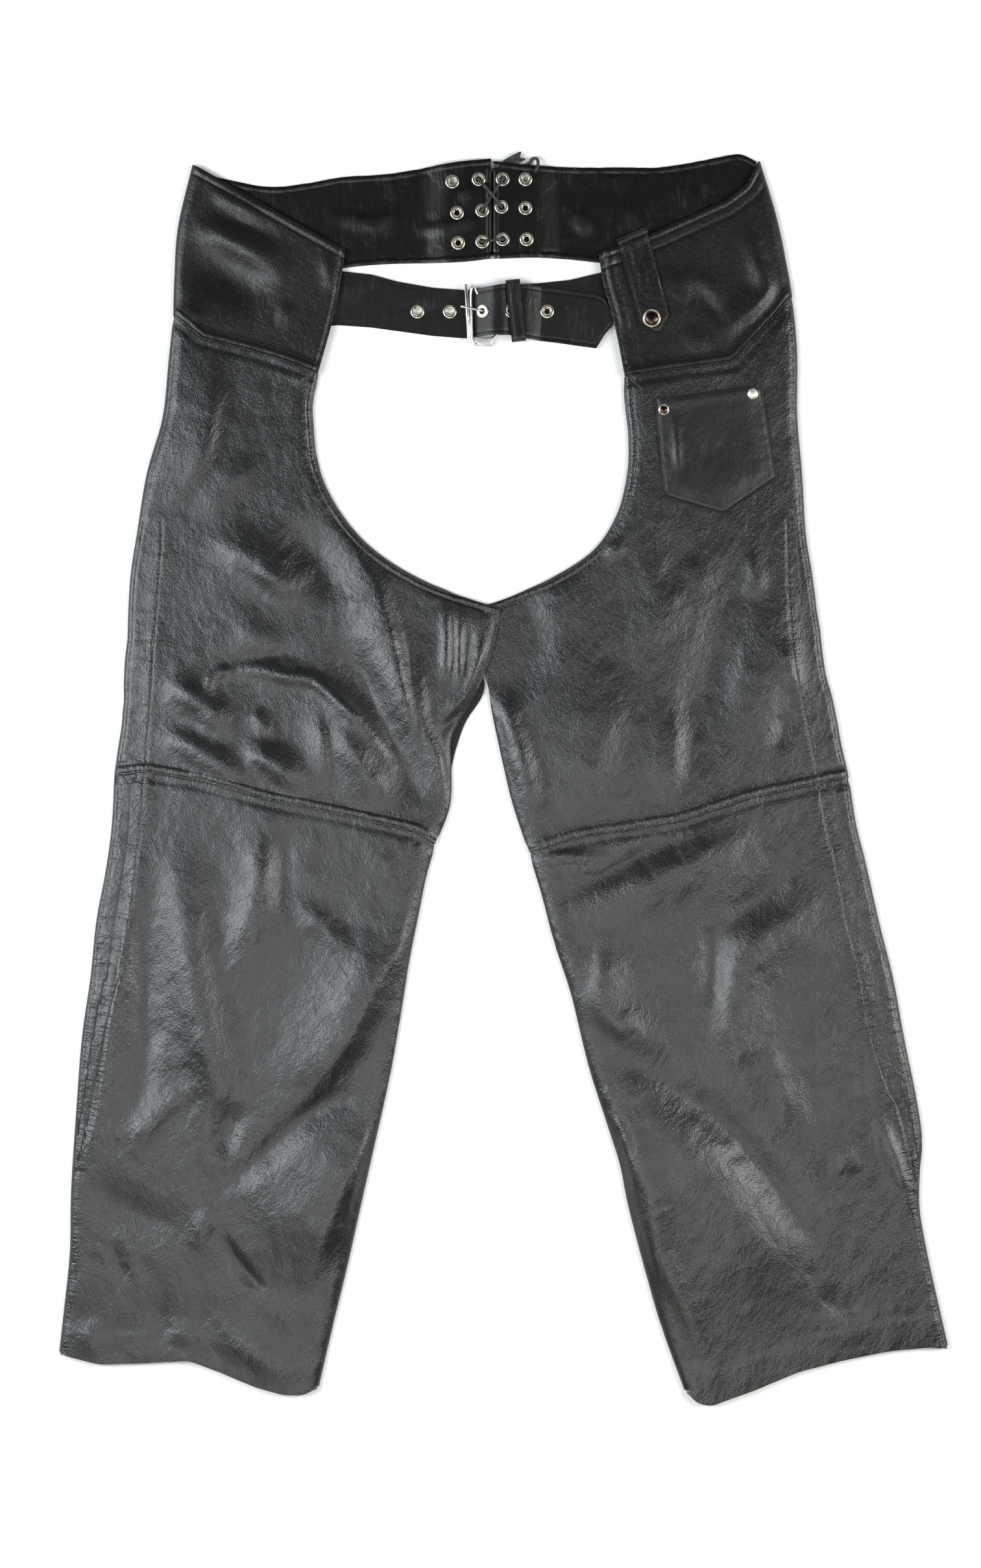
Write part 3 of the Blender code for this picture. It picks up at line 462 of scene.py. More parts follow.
def along(table, t):
    """The rows a share t of the way down a table, on a Catmull-Rom curve through its rows."""
    rows = np.array(table, float)
    last = len(rows) - 1
    grown = np.vstack([2 * rows[0] - rows[1], rows, 2 * rows[-1] - rows[-2]])
    at = np.clip(np.asarray(t, float), 0, 1) * last
    i = np.minimum(at.astype(int), last - 1)
    f = (at - i)[..., None]
    a, b, c, d = (grown[i + k] for k in range(4))
    return 0.5 * (2 * b + (c - a) * f + (2 * a - 5 * b + 4 * c - d) * f**2 + (3 * b - a - 3 * c + d) * f**3)


def bow(name, share):
    """How far a seam bows, with its corners softened a little."""
    shares, offsets = zip(*BOWS[name])
    even = np.linspace(0, 1, 241)
    rough = np.interp(even, shares, offsets)
    padded = np.pad(rough, 5, mode="edge")
    soft = np.convolve(padded, np.ones(11) / 11, mode="valid")
    return np.interp(share, even, soft - (1 - even) * soft[0] - even * soft[-1])


def chain(tables):
    """The dense rows of a panel whose tables follow each other, evenly spaced down its middle."""
    rows = np.vstack([along(t, np.linspace(0, 1, 200)[min(n, 1) :]) for n, t in enumerate(tables)])
    middle = (rows[:, :2] + rows[:, 2:]) / 2
    run = np.concatenate([[0], np.cumsum(np.hypot(*np.diff(middle, axis=0).T))])
    return rows, run


def across(rows, run, down, share, seams):
    """Points of a panel in plan: a distance down its middle, a share of the way across, seams bowed."""
    row = np.stack([np.interp(down, run, rows[:, k]) for k in range(4)], -1)
    x = row[..., 0] + (row[..., 2] - row[..., 0]) * share
    y = row[..., 1] + (row[..., 3] - row[..., 1]) * share
    for name, far in zip(seams, (down, run[-1] - down)):
        if name:
            y = y + bow(name, share) * (1 - smooth(far / FADE))
    return x, y


def near(line, x, y):
    """For each point: how far the nearest place on a line is, and how far along the line that place is."""
    line = np.asarray(line, float)
    a, d = line[:-1], np.diff(line, axis=0)
    long = np.maximum(np.hypot(*d.T), 1e-9)
    before = np.concatenate([[0], np.cumsum(long)[:-1]])
    flat_x, flat_y = np.ravel(x).astype(float), np.ravel(y).astype(float)
    away, run, side = (np.empty(flat_x.size) for _ in range(3))
    for start in range(0, flat_x.size, 6000):
        part = slice(start, start + 6000)
        off = np.stack([flat_x[part], flat_y[part]], 1)[:, None] - a
        t = np.clip((off * d).sum(2) / long**2, 0, 1)
        left = off - t[..., None] * d
        far = np.hypot(left[..., 0], left[..., 1])
        k = far.argmin(1)
        at = np.arange(len(k))
        away[part] = far[at, k]
        run[part] = before[k] + t[at, k] * long[k]
        side[part] = np.sign(d[k, 0] * off[at, k, 1] - d[k, 1] * off[at, k, 0])
    shape = np.shape(x)
    return away.reshape(shape), run.reshape(shape), side.reshape(shape)


print("knee, share 0.5:", across(*chain([SHIN["left"]]), 0.0, 0.5, ("knee_left", None)))

# %% [markdown]
# ## The relief of the leather
# A panel's height is a sum of simple things, each in millimetres: the soft loft of the leg, listed folds, the
# hems, grooves under the stitches and small puckers where thread gathers the hide. A cloth simulation would
# fold the leather its own way; folds drawn one by one can be told where to lie, how wide each flank is and how
# high the crest stands, so the light falls on the right side of each.

# %% Folds
# Each fold: how wide it is on the left of its line and on the right, walking down it; its height (a trough
# is negative); and its line.
FOLDS = {
    "left": [
        (12, 34, 2.4, [(-247, 361), (-246, 304), (-253, 272), (-266, 248), (-275, 222)]),
        (16, 14, 1.4, [(-220, 277), (-225, 254), (-244, 233), (-259, 217)]),
        (22, 14, 2.4, [(-250, 205), (-225, 192), (-200, 178), (-180, 164), (-162, 148)]),
        (9, 9, 1.2, [(-212, 180), (-190, 165), (-175, 150)]),
        (18, 18, -2.2, [(-190, 215), (-160, 188), (-142, 165), (-132, 142)]),
        (12, 12, 1.2, [(-228, 128), (-205, 118), (-185, 112)]),
        (7, 6, 2.8, [(-240, 84), (-228, 89), (-212, 92), (-198, 90), (-180, 86), (-162, 84), (-150, 77),
                     (-138, 66), (-124, 54), (-112, 42), (-102, 28), (-94, 14), (-84, -2)]),
        (20, 22, 2.2, [(-160, 84), (-140, 66), (-120, 46), (-105, 28), (-92, 8), (-78, -12)]),
        (7, 5, -1.4, [(-232, 97), (-205, 102), (-178, 105), (-160, 101)]),
        (4, 5, 1.8, [(-246, 68), (-244, 84), (-232, 91), (-228, 81)]),
        (16, 14, -4.2, [(-142, 124), (-126, 98), (-111, 68), (-98, 42), (-86, 18), (-74, -6), (-62, -24)]),
        (7, 26, 3.8, [(-136, 204), (-120, 182), (-106, 160), (-97, 134), (-90, 104), (-83, 70), (-76, 38), (-69, 12),
                      (-60, -12)]),
        (6, 6, 2.4, [(-74, 112), (-71, 80), (-67, 52), (-61, 26), (-53, 2), (-48, -20)]),
        (12, 14, 2.8, [(-286, 86), (-268, 74), (-250, 62), (-234, 49), (-220, 36)]),
        (12, 12, 2.6, [(-292, 42), (-270, 32), (-248, 20), (-226, 8), (-205, -4)]),
        (14, 10, 3.0, [(-222, 32), (-206, 22), (-190, 12), (-176, 2), (-160, -12)]),
        (7, 8, 1.4, [(-212, 58), (-200, 46), (-192, 34)]),
        (5, 12, 2.0, [(-157, 64), (-152, 38), (-149, 12), (-146, -10)]),
        (10, 16, 2.6, [(-142, 48), (-132, 30), (-120, 12), (-108, -4), (-92, -22)]),
        (4, 5, 1.8, [(-49, 145), (-47, 118), (-48, 92), (-46, 80)]),
        (3.5, 3.5, -1.6, [(-43, 138), (-42, 110), (-43, 88)]),
        (4, 4, 1.9, [(-38, 140), (-37, 108), (-38, 84), (-42, 72)]),
        (6, 6, -1.8, [(-30, 132), (-31, 108), (-33, 84)]),
        (5, 7, 2.4, [(-14, 128), (-20, 104), (-26, 80), (-34, 66), (-48, 56), (-60, 47)]),
        (5, 5, -1.6, [(-22, 66), (-38, 50), (-56, 40)]),
        (3.5, 4, 1.8, [(-62, 44), (-56, 28), (-50, 10), (-47, -6), (-47, -22)]),
        (14, 4, 2.6, [(-299, -46), (-307, -87), (-314, -128), (-321, -171), (-328, -208), (-332, -240), (-337, -275),
                      (-346, -311), (-354, -338)]),
        (20, 18, 4.0, [(-272, -30), (-274, -60), (-268, -100), (-263, -140), (-257, -180), (-247, -220), (-240, -255),
                       (-243, -290), (-252, -318)]),
        (10, 12, -2.0, [(-298, -95), (-300, -130), (-298, -170), (-296, -210), (-300, -250), (-308, -290)]),
        (16, 16, 3.0, [(-203, -18), (-200, -50), (-202, -85), (-210, -120), (-216, -150), (-220, -180)]),
        (12, 14, -1.6, [(-188, -34), (-184, -70), (-190, -110)]),
        (10, 12, 1.6, [(-172, -103), (-146, -126), (-126, -153)]),
        (14, 34, 4.8, [(-82, -100), (-90, -135), (-104, -160), (-116, -186), (-130, -212), (-148, -236), (-166, -256),
                       (-185, -276)]),
        (10, 12, -2.6, [(-98, -258), (-125, -262), (-150, -272), (-175, -290), (-200, -312), (-228, -335),
                        (-250, -352)]),
        (14, 50, 4.6, [(-112, -278), (-124, -310), (-138, -345), (-152, -380), (-162, -408), (-168, -430)]),
        (12, 14, -2.4, [(-226, -262), (-229, -290), (-236, -318)]),
        (7, 12, 1.8, [(-256, -252), (-280, -272), (-298, -292), (-314, -314)]),
        (8, 9, 1.6, [(-240, -352), (-250, -370), (-256, -392)]),
        (5, 7, -2.2, [(-235, -375), (-225, -395), (-208, -416), (-196, -428)]),
        (6, 6, -0.9, [(-330, -382), (-320, -404), (-313, -426)]),
        (6, 6, -0.7, [(-302, -392), (-296, -420)]),
        (9, 9, -1.1, [(-286, -425), (-285, -450), (-281, -476)]),
        (8, 8, 0.8, [(-268, -446), (-266, -472)]),
        (12, 12, 1.1, [(-350, -448), (-344, -464), (-336, -480)]),
        (12, 12, 1.8, [(-236, -454), (-206, -476), (-190, -490), (-176, -506)]),
        (16, 16, -1.8, [(-340, -322), (-322, -352), (-290, -366), (-262, -362)]),
    ],
    "right": [
        (14, 24, 1.2, [(118, 232), (122, 200), (128, 172), (136, 150), (130, 132), (112, 114), (98, 98)]),
        (10, 12, 0.9, [(146, 182), (160, 172), (172, 156)]),
        (20, 22, -1.8, [(186, 194), (190, 168), (184, 124), (174, 90), (164, 60), (154, 30), (146, 0)]),
        (20, 26, 1.3, [(218, 176), (222, 140), (221, 104), (212, 70), (202, 34), (196, 4)]),
        (8, 8, 1.4, [(204, 190), (210, 168), (206, 150)]),
        (10, 26, 1.7, [(138, 72), (141, 34), (139, 4), (130, -20)]),
        (18, 36, 2.0, [(98, 96), (86, 62), (79, 26), (68, 0), (46, -18), (30, -27)]),
        (8, 9, 1.8, [(232, 118), (238, 95), (243, 69)]),
        (8, 8, -1.4, [(236, 60), (232, 40), (226, 22)]),
        (9, 10, 2.2, [(-5, 85), (4, 53), (14, 22), (23, -12), (30, -38)]),
        (7, 7, 2.2, [(22, 132), (12, 118), (0, 106)]),
        (7, 7, -1.6, [(28, 122), (18, 106), (4, 92)]),
        (8, 8, 1.4, [(88, 200), (96, 184)]),
        (10, 10, 1.0, [(33, 148), (35, 129)]),
        (16, 26, 3.0, [(50, -112), (80, -102), (110, -90), (140, -76), (175, -60), (215, -45)]),
        (8, 10, -2.0, [(42, -98), (70, -88), (100, -72), (130, -56), (160, -44)]),
        (4, 4, 1.2, [(26, -66), (50, -63), (80, -66)]),
        (4, 4, 1.0, [(30, -75), (55, -71), (85, -75)]),
        (20, 12, 3.0, [(91, -125), (83, -158), (86, -191), (113, -213), (141, -227)]),
        (30, 60, 4.6, [(80, -246), (105, -268), (130, -292), (155, -322), (185, -358), (215, -395), (240, -428),
                       (262, -445)]),
        (14, 12, -2.6, [(84, -232), (115, -240), (150, -262), (185, -290), (215, -325), (250, -365), (280, -400)]),
        (26, 16, 3.2, [(276, -93), (240, -117), (207, -140), (192, -175), (193, -212), (203, -250), (215, -285)]),
        (14, 14, -2.0, [(240, -62), (224, -87), (202, -108), (174, -116)]),
        (10, 10, -1.8, [(176, -112), (174, -150), (176, -197)]),
        (8, 8, 1.1, [(222, -212), (228, -245), (235, -272), (238, -292)]),
        (11, 11, -1.1, [(252, -236), (258, -262), (268, -290)]),
        (10, 10, 0.9, [(272, -200), (268, -228), (276, -250)]),
        (6, 8, 2.6, [(309, -274), (323, -307), (333, -340), (338, -367)]),
        (9, 9, 0.7, [(282, -304), (286, -330)]),
        (9, 9, 0.6, [(290, -372), (296, -396)]),
        (5, 5, -0.8, [(298, -219), (299, -274)]),
        (16, 11, -1.4, [(258, -430), (282, -438), (306, -440)]),
        (8, 8, 0.5, [(200, -436), (207, -445)]),
        (14, 9, 2.4, [(94, -269), (107, -306), (120, -343), (126, -380), (135, -406), (150, -433), (159, -455),
                      (170, -477), (181, -505)]),
    ],
}
YOKE_FOLDS = {
    "left": [
        (6, 7, 1.6, [(-247, 492), (-232, 484), (-215, 475), (-197, 466)]),
        (8, 9, -1.3, [(-244, 474), (-215, 461), (-182, 446)]),
        (14, 11, 2.6, [(-262, 463), (-243, 455), (-225, 447), (-208, 438), (-192, 428), (-176, 422)]),
        (22, 20, -2.4, [(-264, 442), (-240, 426), (-215, 410), (-188, 398)]),
        (6, 7, 0.9, [(-269, 394), (-258, 388), (-248, 384)]),
        (7, 8, 0.9, [(-190, 391), (-172, 386)]),
        (6, 6, 1.0, [(-150, 440), (-145, 422), (-143, 404)]),
    ],
    "right": [
        (7, 11, 2.4, [(198, 472), (211, 434), (219, 411), (209, 395), (190, 380), (171, 364)]),
        (8, 8, 0.8, [(144, 422), (159, 418), (177, 407), (186, 391)]),
        (6, 6, -1.0, [(152, 415), (171, 395), (186, 378)]),
        (9, 9, 0.7, [(128, 422), (144, 411), (150, 395)]),
        (8, 8, 0.9, [(150, 378), (160, 366), (175, 360)]),
    ],
}
BAND_FOLDS = {
    "left": [
        (4, 4, 1.2, [(-79, 457), (-53, 459), (-32, 463), (-15, 467)]),
        (4, 4, 0.9, [(-38, 482), (-27, 492)]),
        (6, 5, 1.0, [(-150, 470), (-110, 463), (-80, 472)]),
    ],
    "right": [
        (4, 3, -1.0, [(-3, 485), (24, 487), (50, 487), (69, 484)]),
        (6, 6, 1.3, [(55, 474), (65, 463), (74, 453)]),
        (7, 7, 0.8, [(95, 480), (110, 465), (120, 445)]),
    ],
}

FOLD_RISE = 1.65  # the folds stand this many times as high as their tables say
FOLD_TAPER = 0.45  # the share of a fold over which each end runs out


def folded(folds, x, y):
    """How far the folds raise or lower the leather at each point. Narrow ones stand a little lower."""
    rise = np.zeros(np.shape(x))
    for wide_left, wide_right, high, line in folds:
        drawn = along(line, np.linspace(0, 1, 8 * len(line)))
        reach = 2.6 * max(wide_left, wide_right)
        low, far = drawn.min(0) - reach, drawn.max(0) + reach
        inside = (x > low[0]) & (x < far[0]) & (y > low[1]) & (y < far[1])
        if not inside.any():
            continue
        away, run, side = near(drawn, x[inside], y[inside])
        whole = np.hypot(*np.diff(drawn, axis=0).T).sum()
        taper = smooth(np.minimum(run, whole - run) / (FOLD_TAPER * whole) + 0.1)
        wide = np.where(side > 0, wide_left, wide_right)
        share = 0.7 + 0.3 * smooth((wide_left + wide_right - 12) / 16)
        rise[inside] += FOLD_RISE * share * high * taper * np.exp(-((away / wide) ** 2))
    return rise


print("folds:", sum(len(v) for table in (FOLDS, YOKE_FOLDS, BAND_FOLDS) for v in table.values()))


# %% [markdown]
# ## What sewing does to leather
# A row of stitches pulls a shallow groove, and between the stitches the edge swells into small puckers. Where
# one panel is sewn over another, the upper one steps up. Each is a short function of the distance from a
# line, in millimetres, so any seam can have it, deeper or softer. The noise is seeded, which gives the same
# puckers on every run.

# %% Hems, seams, puckers and lap
def rounding(away, radius):
    """0 at an edge and 1 a radius in from it, on a quarter ellipse."""
    return np.sqrt(1 - (1 - np.clip(away / radius, 0, 1)) ** 2)


def bell(away, wide):
    return np.exp(-((away / wide) ** 2))


def mottle(x, y, size, seed):
    """Smooth seeded noise from 0 to 1, with blotches of a size in millimetres."""
    lattice = np.random.default_rng(seed).random((97, 97))
    gx, gy = np.asarray(x) / size + 500, np.asarray(y) / size + 500
    i, j = np.floor(gx).astype(int), np.floor(gy).astype(int)
    fx, fy = smooth(gx - i), smooth(gy - j)
    a, b, c, d = (lattice[(i + p) % 97, (j + q) % 97] for p, q in ((0, 0), (1, 0), (0, 1), (1, 1)))
    return (a * (1 - fx) + b * fx) * (1 - fy) + (c * (1 - fx) + d * fx) * fy


def ridged(x, y, size, seed):
    """Noise with narrow creases: 1 in the creases and near 0 on the rounds between them."""
    return (1 - np.abs(2 * mottle(x, y * 0.8, size, seed) - 1)) ** 3


def puckers(away, run, pitch, reach, seed):
    """Ridges square to a seam, which die out away from it."""
    return (mottle(run, away * 0.3, pitch, seed) - 0.5) * np.exp(-away / reach)


def sewn(away, rows, deep=0.28, wide=1.1):
    """The grooves that rows of stitches press into the leather, at distances from an edge."""
    return -deep * sum(bell(away - row, wide) for row in rows)


def lap_strip(away):
    """1 on the strip where one panel is sewn over another, and 0 well away from the seam."""
    return 1 - smooth((away - 4.5) / 6)


def lapped(x, y, reach=40, fade=30):
    """1 where the left leg's crotch corner lies on the right one's, and 0 well away from it."""
    return smooth(1 - (np.hypot(x + 16, y - 120) - reach) / fade)


LAP_RISE = 2.4  # how far the right leg's corner lifts the left one's
# How far from its line each row of stitches runs. The second row on the right yoke's front is a groove only.
STITCH_ROWS = {
    "left": {"yoke": (2.2, 6.6), "knee": (2.4, 7.4), "top": (6.3,), "front": (4.4,), "arch": (5.4,), "outer": (3.2,)},
    "right": {"yoke": (2.2, 6.6), "knee": (2.4, 7.4), "top": (4.6, 13), "front": (3.4, 14), "arch": (5.4,),
              "outer": (3.2,)},
}
print("a groove is", sewn(0.0, (0,)), "mm deep")

# %% [markdown]
# ## Seam lines
# The grooves, the puckers and later the thread itself all follow the same lines: the edges, the seams at yoke
# and knee, and the strip that hides the zip. They are worked out once from the pattern and kept by name, and
# so is the distance of each row of stitches. If thread and groove had tables of their own, they would drift
# apart with the first change.

# %% The lines that hems and seams follow
PLACKET = {
    "left": [(-285, 218), (-285, 192), (-288, 150), (-292, 107), (-295, 51), (-298, 14), (-302, -38), (-307, -79),
             (-312, -120), (-320, -162), (-330, -197), (-337, -233), (-344, -271), (-350, -301), (-355, -318)],
    "right": [(235, 215), (236, 163), (239, 122), (247, 70), (255, 29), (261, 4), (264, -23), (274, -64),
              (282, -105), (296, -161), (305, -211), (319, -255), (328, -274), (339, -316), (343, -336)],
}
PANELS = {
    "yoke": ([YOKE], "top", "yoke"),
    "thigh": ([ARCH, INSEAM], "yoke", "knee"),
    "shin": ([SHIN], "knee", "hem"),
}


def panel_seams(part, side):
    _, first, last = PANELS[part]
    return f"{first}_{side}", f"{last}_{side}"


def panel_rows(part, side):
    return chain([table[side] for table in PANELS[part][0]])


def seam_line(part, side, end):
    """The seam at a panel's top (end 0) or bottom (end 1), from its outer to its inner end."""
    rows, run = panel_rows(part, side)
    share = np.linspace(0, 1, 90)
    return np.stack(across(rows, run, np.full(90, end * run[-1]), share, panel_seams(part, side)), 1)


def side_line(parts, side, which):
    """The outer or inner edge of some panels, one below the other."""
    first = 0 if which == "outer" else 2
    return np.vstack([panel_rows(part, side)[0][::6, first : first + 2] for part in parts])


LINES = {}
for side in SIDES:
    LINES[side] = {
        "outer": side_line(("yoke", "thigh", "shin"), side, "outer"),
        "inner": side_line(("thigh", "shin"), side, "inner"),
        "front": side_line(("yoke",), side, "inner"),
        "arch": along(ARCH[side], np.linspace(0, 1, 90))[:, 2:],
        "top": seam_line("yoke", side, 0),
        "yoke": seam_line("yoke", side, 1),
        "knee": seam_line("thigh", side, 1),
        "hem": seam_line("shin", side, 1),
        "placket": along(PLACKET[side], np.linspace(0, 1, 120)),
    }
print("knee seam, mm:", {s: round(float(np.hypot(*np.diff(LINES[s]["knee"], axis=0).T).sum())) for s in SIDES})


# %% [markdown]
# ## The height of the fronts
# An empty leg laid down isn't flat: it is a low cushion that rounds off at both edges, with folds on top. Here
# that cushion, the folds, the laps and the grooves are added up for any point. Sculpting it by hand gives
# freer shapes, but a sum can be asked for a height again, which keeps thread, pocket and belt on the leather.

# %% How high a front panel lies
ZIP_TOP, ZIP_HALF = 225, 13  # how far up the strip over the zip runs, and where it lies level, from its edge
SIDE_ROUND, ZIP_ROUND, INNER_ROUND = 9, 4.5, 16  # how far in from an edge the leg has its full height


def level(side, part, x, y):
    """How far a front panel's underside stands off the back panel."""
    lines = LINES[side]
    outer = near(lines["outer"], x, y)[0]
    if part == "yoke":
        return LOFT * rounding(outer, 7) + folded(YOKE_FOLDS[side], x, y) * smooth(outer / 6)
    strip = smooth((ZIP_TOP - y) / 25)
    radius = SIDE_ROUND * (1 - strip) + ZIP_ROUND * strip
    inner = near(lines["inner"], x, y)[0]
    low_leg = SIDE_ROUND + (INNER_ROUND - SIDE_ROUND) * smooth((y + 140) / 80)
    inner_radius = INNER_ROUND if part == "thigh" else low_leg
    rise = LOFT * rounding(outer, radius) * rounding(inner, inner_radius)
    waves = (mottle(x, y, 45, 3) - 0.5) * 1.3 + (mottle(x, y, 17, 4) - 0.5) * 0.5
    low = smooth((60 - y) / 160)
    fine = (mottle(x, y, 8, 5) - 0.5) * 0.25 - (0.1 + 0.16 * low) * ridged(x + 0.4 * y, y, 26, 6)
    rise = rise + (folded(FOLDS[side], x, y) + waves + fine) * smooth(outer / 9) * smooth(inner / 9)
    lap = lapped(x, y, 30, 25)
    rise = np.maximum(rise, LAP_RISE * lap) if side == "left" else rise * (1 - lapped(x, y))
    return np.maximum(rise, 0)


# For the strip over the zip: how deep its groove is, its slope across, and how strong its puckers are at the
# top and how far up they have their full strength.
PLACKET_LIE = {"left": (0.5, 0.085, 0.25, 120), "right": (0.3, 0.03, 0.12, 0)}


def placket_relief(side, x, y):
    """The strip over the zip: a groove along it, a slope and puckers across it, and puckers beside it."""
    groove, slope, weak, strong_from = PLACKET_LIE[side]
    away, run, _ = near(LINES[side]["placket"], x, y)
    outer = near(LINES[side]["outer"], x, y)[0]
    line_x = np.interp(y, *np.array(sorted((p[1], p[0]) for p in PLACKET[side])).T)
    inside = (x < line_x) if side == "left" else (x > line_x)
    top, low = PLACKET[side][0][1], PLACKET[side][-1][1]
    there = smooth((top - y) / 4) * smooth((y - low) / 40)
    strength = weak + (1 - weak) * smooth((strong_from + 60 - y) / 60)
    ripple = (mottle(x * 0.25, y, 2.6, 21) - 0.5) * 0.5 + (mottle(x * 0.3, y, 7, 22) - 0.5) * 0.4
    window = smooth(away / 3) * smooth(outer / 3.5)
    below = smooth((20 - y) / 50)
    return there * (
        inside * smooth(outer / 3) * slope * (outer - ZIP_HALF)
        - groove * bell(away, 1.1)
        + inside * window * ripple * strength
        + (~inside) * below * ripple * 0.7 * np.exp(-away / 7) * smooth(away / 2)
    )


LAP_DIP, LAP_ROOM = 0.9, 0.08  # how far a lower panel dips under the lap, and the room above it
GATHER, HEM_WIDE = 4.4, 23  # how far apart the puckers are, and how wide the turned hem is


def front_height(part, side, x, y):
    """A front panel's underside, in millimetres."""
    lines, rows = LINES[side], STITCH_ROWS[side]
    up = level(side, part, x, y)
    z = LAID + up
    dip = np.minimum(LAP_DIP, up + 0.25)
    over = HIDE + LAP_ROOM - dip
    outer = near(lines["outer"], x, y)[0]
    away, run, _ = near(lines["yoke" if part != "shin" else "knee"], x, y)
    if part == "yoke":
        z = z + lap_strip(away) * over + sewn(away, rows["yoke"]) + 0.35 * puckers(away, run, GATHER, 6, 31)
        top = near(lines["top"], x, y)[0]
        z = z + sewn(top, rows["top"], 0.5, 1.3) + 0.4 * bell(top - 3, 2.4)
        front = near(lines["front"], x, y)[0]
        z = z + sewn(front, rows["front"], 0.4, 1.2) + 0.3 * bell(front - 2.2, 1.8)
        if side == "right":
            z = z + 0.9 * bell(front - 8.5, 3.6) * smooth((y - 368) / 18)
        return z
    z = z - lap_strip(away) * dip
    if part == "thigh":
        away, run, _ = near(lines["knee"], x, y)
        deep = 0.34 if side == "left" else 0.22
        z = z + lap_strip(away) * over + sewn(away, rows["knee"], deep)
        z = z + 0.4 * puckers(away, run, GATHER, 8, 41) * smooth(away / 2)
        arch, arch_run, _ = near(lines["arch"], x, y)
        z = z + sewn(arch, rows["arch"], 0.45, 1.2) + 0.5 * bell(arch - 2.6, 2.0)
        z = z + 0.3 * puckers(arch, arch_run, GATHER, 7, 42) * smooth((arch - 4) / 3)
    else:
        z = z + 0.4 * puckers(away, run, GATHER, 9, 43) * smooth((away - 1) / 3)
        hem = near(lines["hem"], x, y)[0]
        z = z + 0.25 * bell(hem, 3) * (mottle(x, y, 12, 44) - 0.5) + 0.45 * (1 - smooth((hem - HEM_WIDE) / 5))
    z = z + sewn(outer, rows["outer"], 0.4, 0.9) + placket_relief(side, x, y)
    return np.maximum(z, LAID - dip)


print("height on the left thigh:", front_height("thigh", "left", np.array([-200.0]), np.array([150.0])))

# %% [markdown]
# ## Leather from a grid
# Each panel starts as a grid from Add > Mesh, whose vertices are moved to the pattern and the relief, as a
# sculptor would with a Grab brush. The rows and columns crowd together near edges and seams, where the
# shape changes fast. Solidify then gives the hide its thickness, and its rim takes the cut edge's finish.


# %% A sheet of leather
def deselect():
    if bpy.context.object and bpy.context.object.mode == "EDIT":
        bpy.ops.object.mode_set(mode="OBJECT")
    bpy.ops.object.select_all(action="DESELECT")


def pick(*pieces):
    """Selects these pieces and no others. The last is the active one."""
    deselect()
    for piece in pieces:
        piece.select_set(True)
    bpy.context.view_layer.objects.active = pieces[-1]


def clean(made, merge=0):
    """Joins vertices that are within merge millimetres of each other, and turns every face outward."""
    pick(made)
    bpy.ops.object.mode_set(mode="EDIT")
    bpy.ops.mesh.select_all(action="SELECT")
    if merge:
        bpy.ops.mesh.remove_doubles(threshold=merge * MM)
    bpy.ops.mesh.normals_make_consistent(inside=False)
    bpy.ops.object.mode_set(mode="OBJECT")


def put_on(made, *finishes):
    made.data.materials.clear()
    for finish in finishes:
        made.data.materials.append(finish)
    return made


def grid(name, columns, rows, place):
    """A grid whose vertices are set by place(column, row), arrays of whole numbers, in millimetres."""
    deselect()
    bpy.ops.mesh.primitive_grid_add(x_subdivisions=columns, y_subdivisions=rows, size=1)
    made = bpy.context.object
    made.name = made.data.name = name
    flat = np.empty(len(made.data.vertices) * 3)
    made.data.vertices.foreach_get("co", flat)
    column = np.rint((flat[0::3] + 0.5) * columns).astype(int)
    row = np.rint((flat[1::3] + 0.5) * rows).astype(int)
    x, y, z = place(column, row)
    made.data.vertices.foreach_set("co", (np.stack([x, y, z], 1) * MM).ravel())
    made.data.update()
    if sum(p.normal.z * p.area for p in made.data.polygons) < 0:
        made.data.flip_normals()
    return made


CREST_RINGS, CREST_SCALE = 10, 1.2


def mark_crests(made):
    """Stores how far each vertex stands above the ones round it: 1 on a crest, 0 in a valley.

    The mean of a vertex and its neighbours is taken again and again, so it tells of a wider ring each time.
    """
    mesh = made.data
    count = len(mesh.vertices)
    points = np.empty(count * 3)
    mesh.vertices.foreach_get("co", points)
    height = points[2::3] / MM
    ends = np.empty(len(mesh.edges) * 2, int)
    mesh.edges.foreach_get("vertices", ends)
    a, b = ends[0::2], ends[1::2]
    mean = height.copy()
    for _ in range(CREST_RINGS):
        total, links = mean.copy(), np.ones(count)
        np.add.at(total, a, mean[b])
        np.add.at(total, b, mean[a])
        np.add.at(links, a, 1)
        np.add.at(links, b, 1)
        mean = total / links
    crest = np.clip(0.5 + (height - mean) * CREST_SCALE, 0, 1)
    mesh.attributes.new("crest", "FLOAT", "POINT").data.foreach_set("value", crest.astype(np.float32))


def thicken(made, thick, finishes, grow=1, even=True):
    """Gives a sheet its wall with Solidify. finishes are for its top, its underside and its cut edge.

    grow says where the sheet is in the wall: 1 at its underside and 0 in its middle. even keeps the wall
    even round sharp bends, which would draw a narrow strip into spikes.
    """
    mark_crests(made)
    put_on(made, *finishes)
    pick(made)
    wall = made.modifiers.new("Wall", "SOLIDIFY")
    wall.thickness = thick * MM
    wall.offset = grow
    wall.use_even_offset = even
    wall.material_offset = 1
    wall.material_offset_rim = 2
    bpy.ops.object.modifier_apply(modifier="Wall")
    bpy.ops.object.shade_smooth_by_angle(angle=math.radians(50))
    return made


PIECES = {}


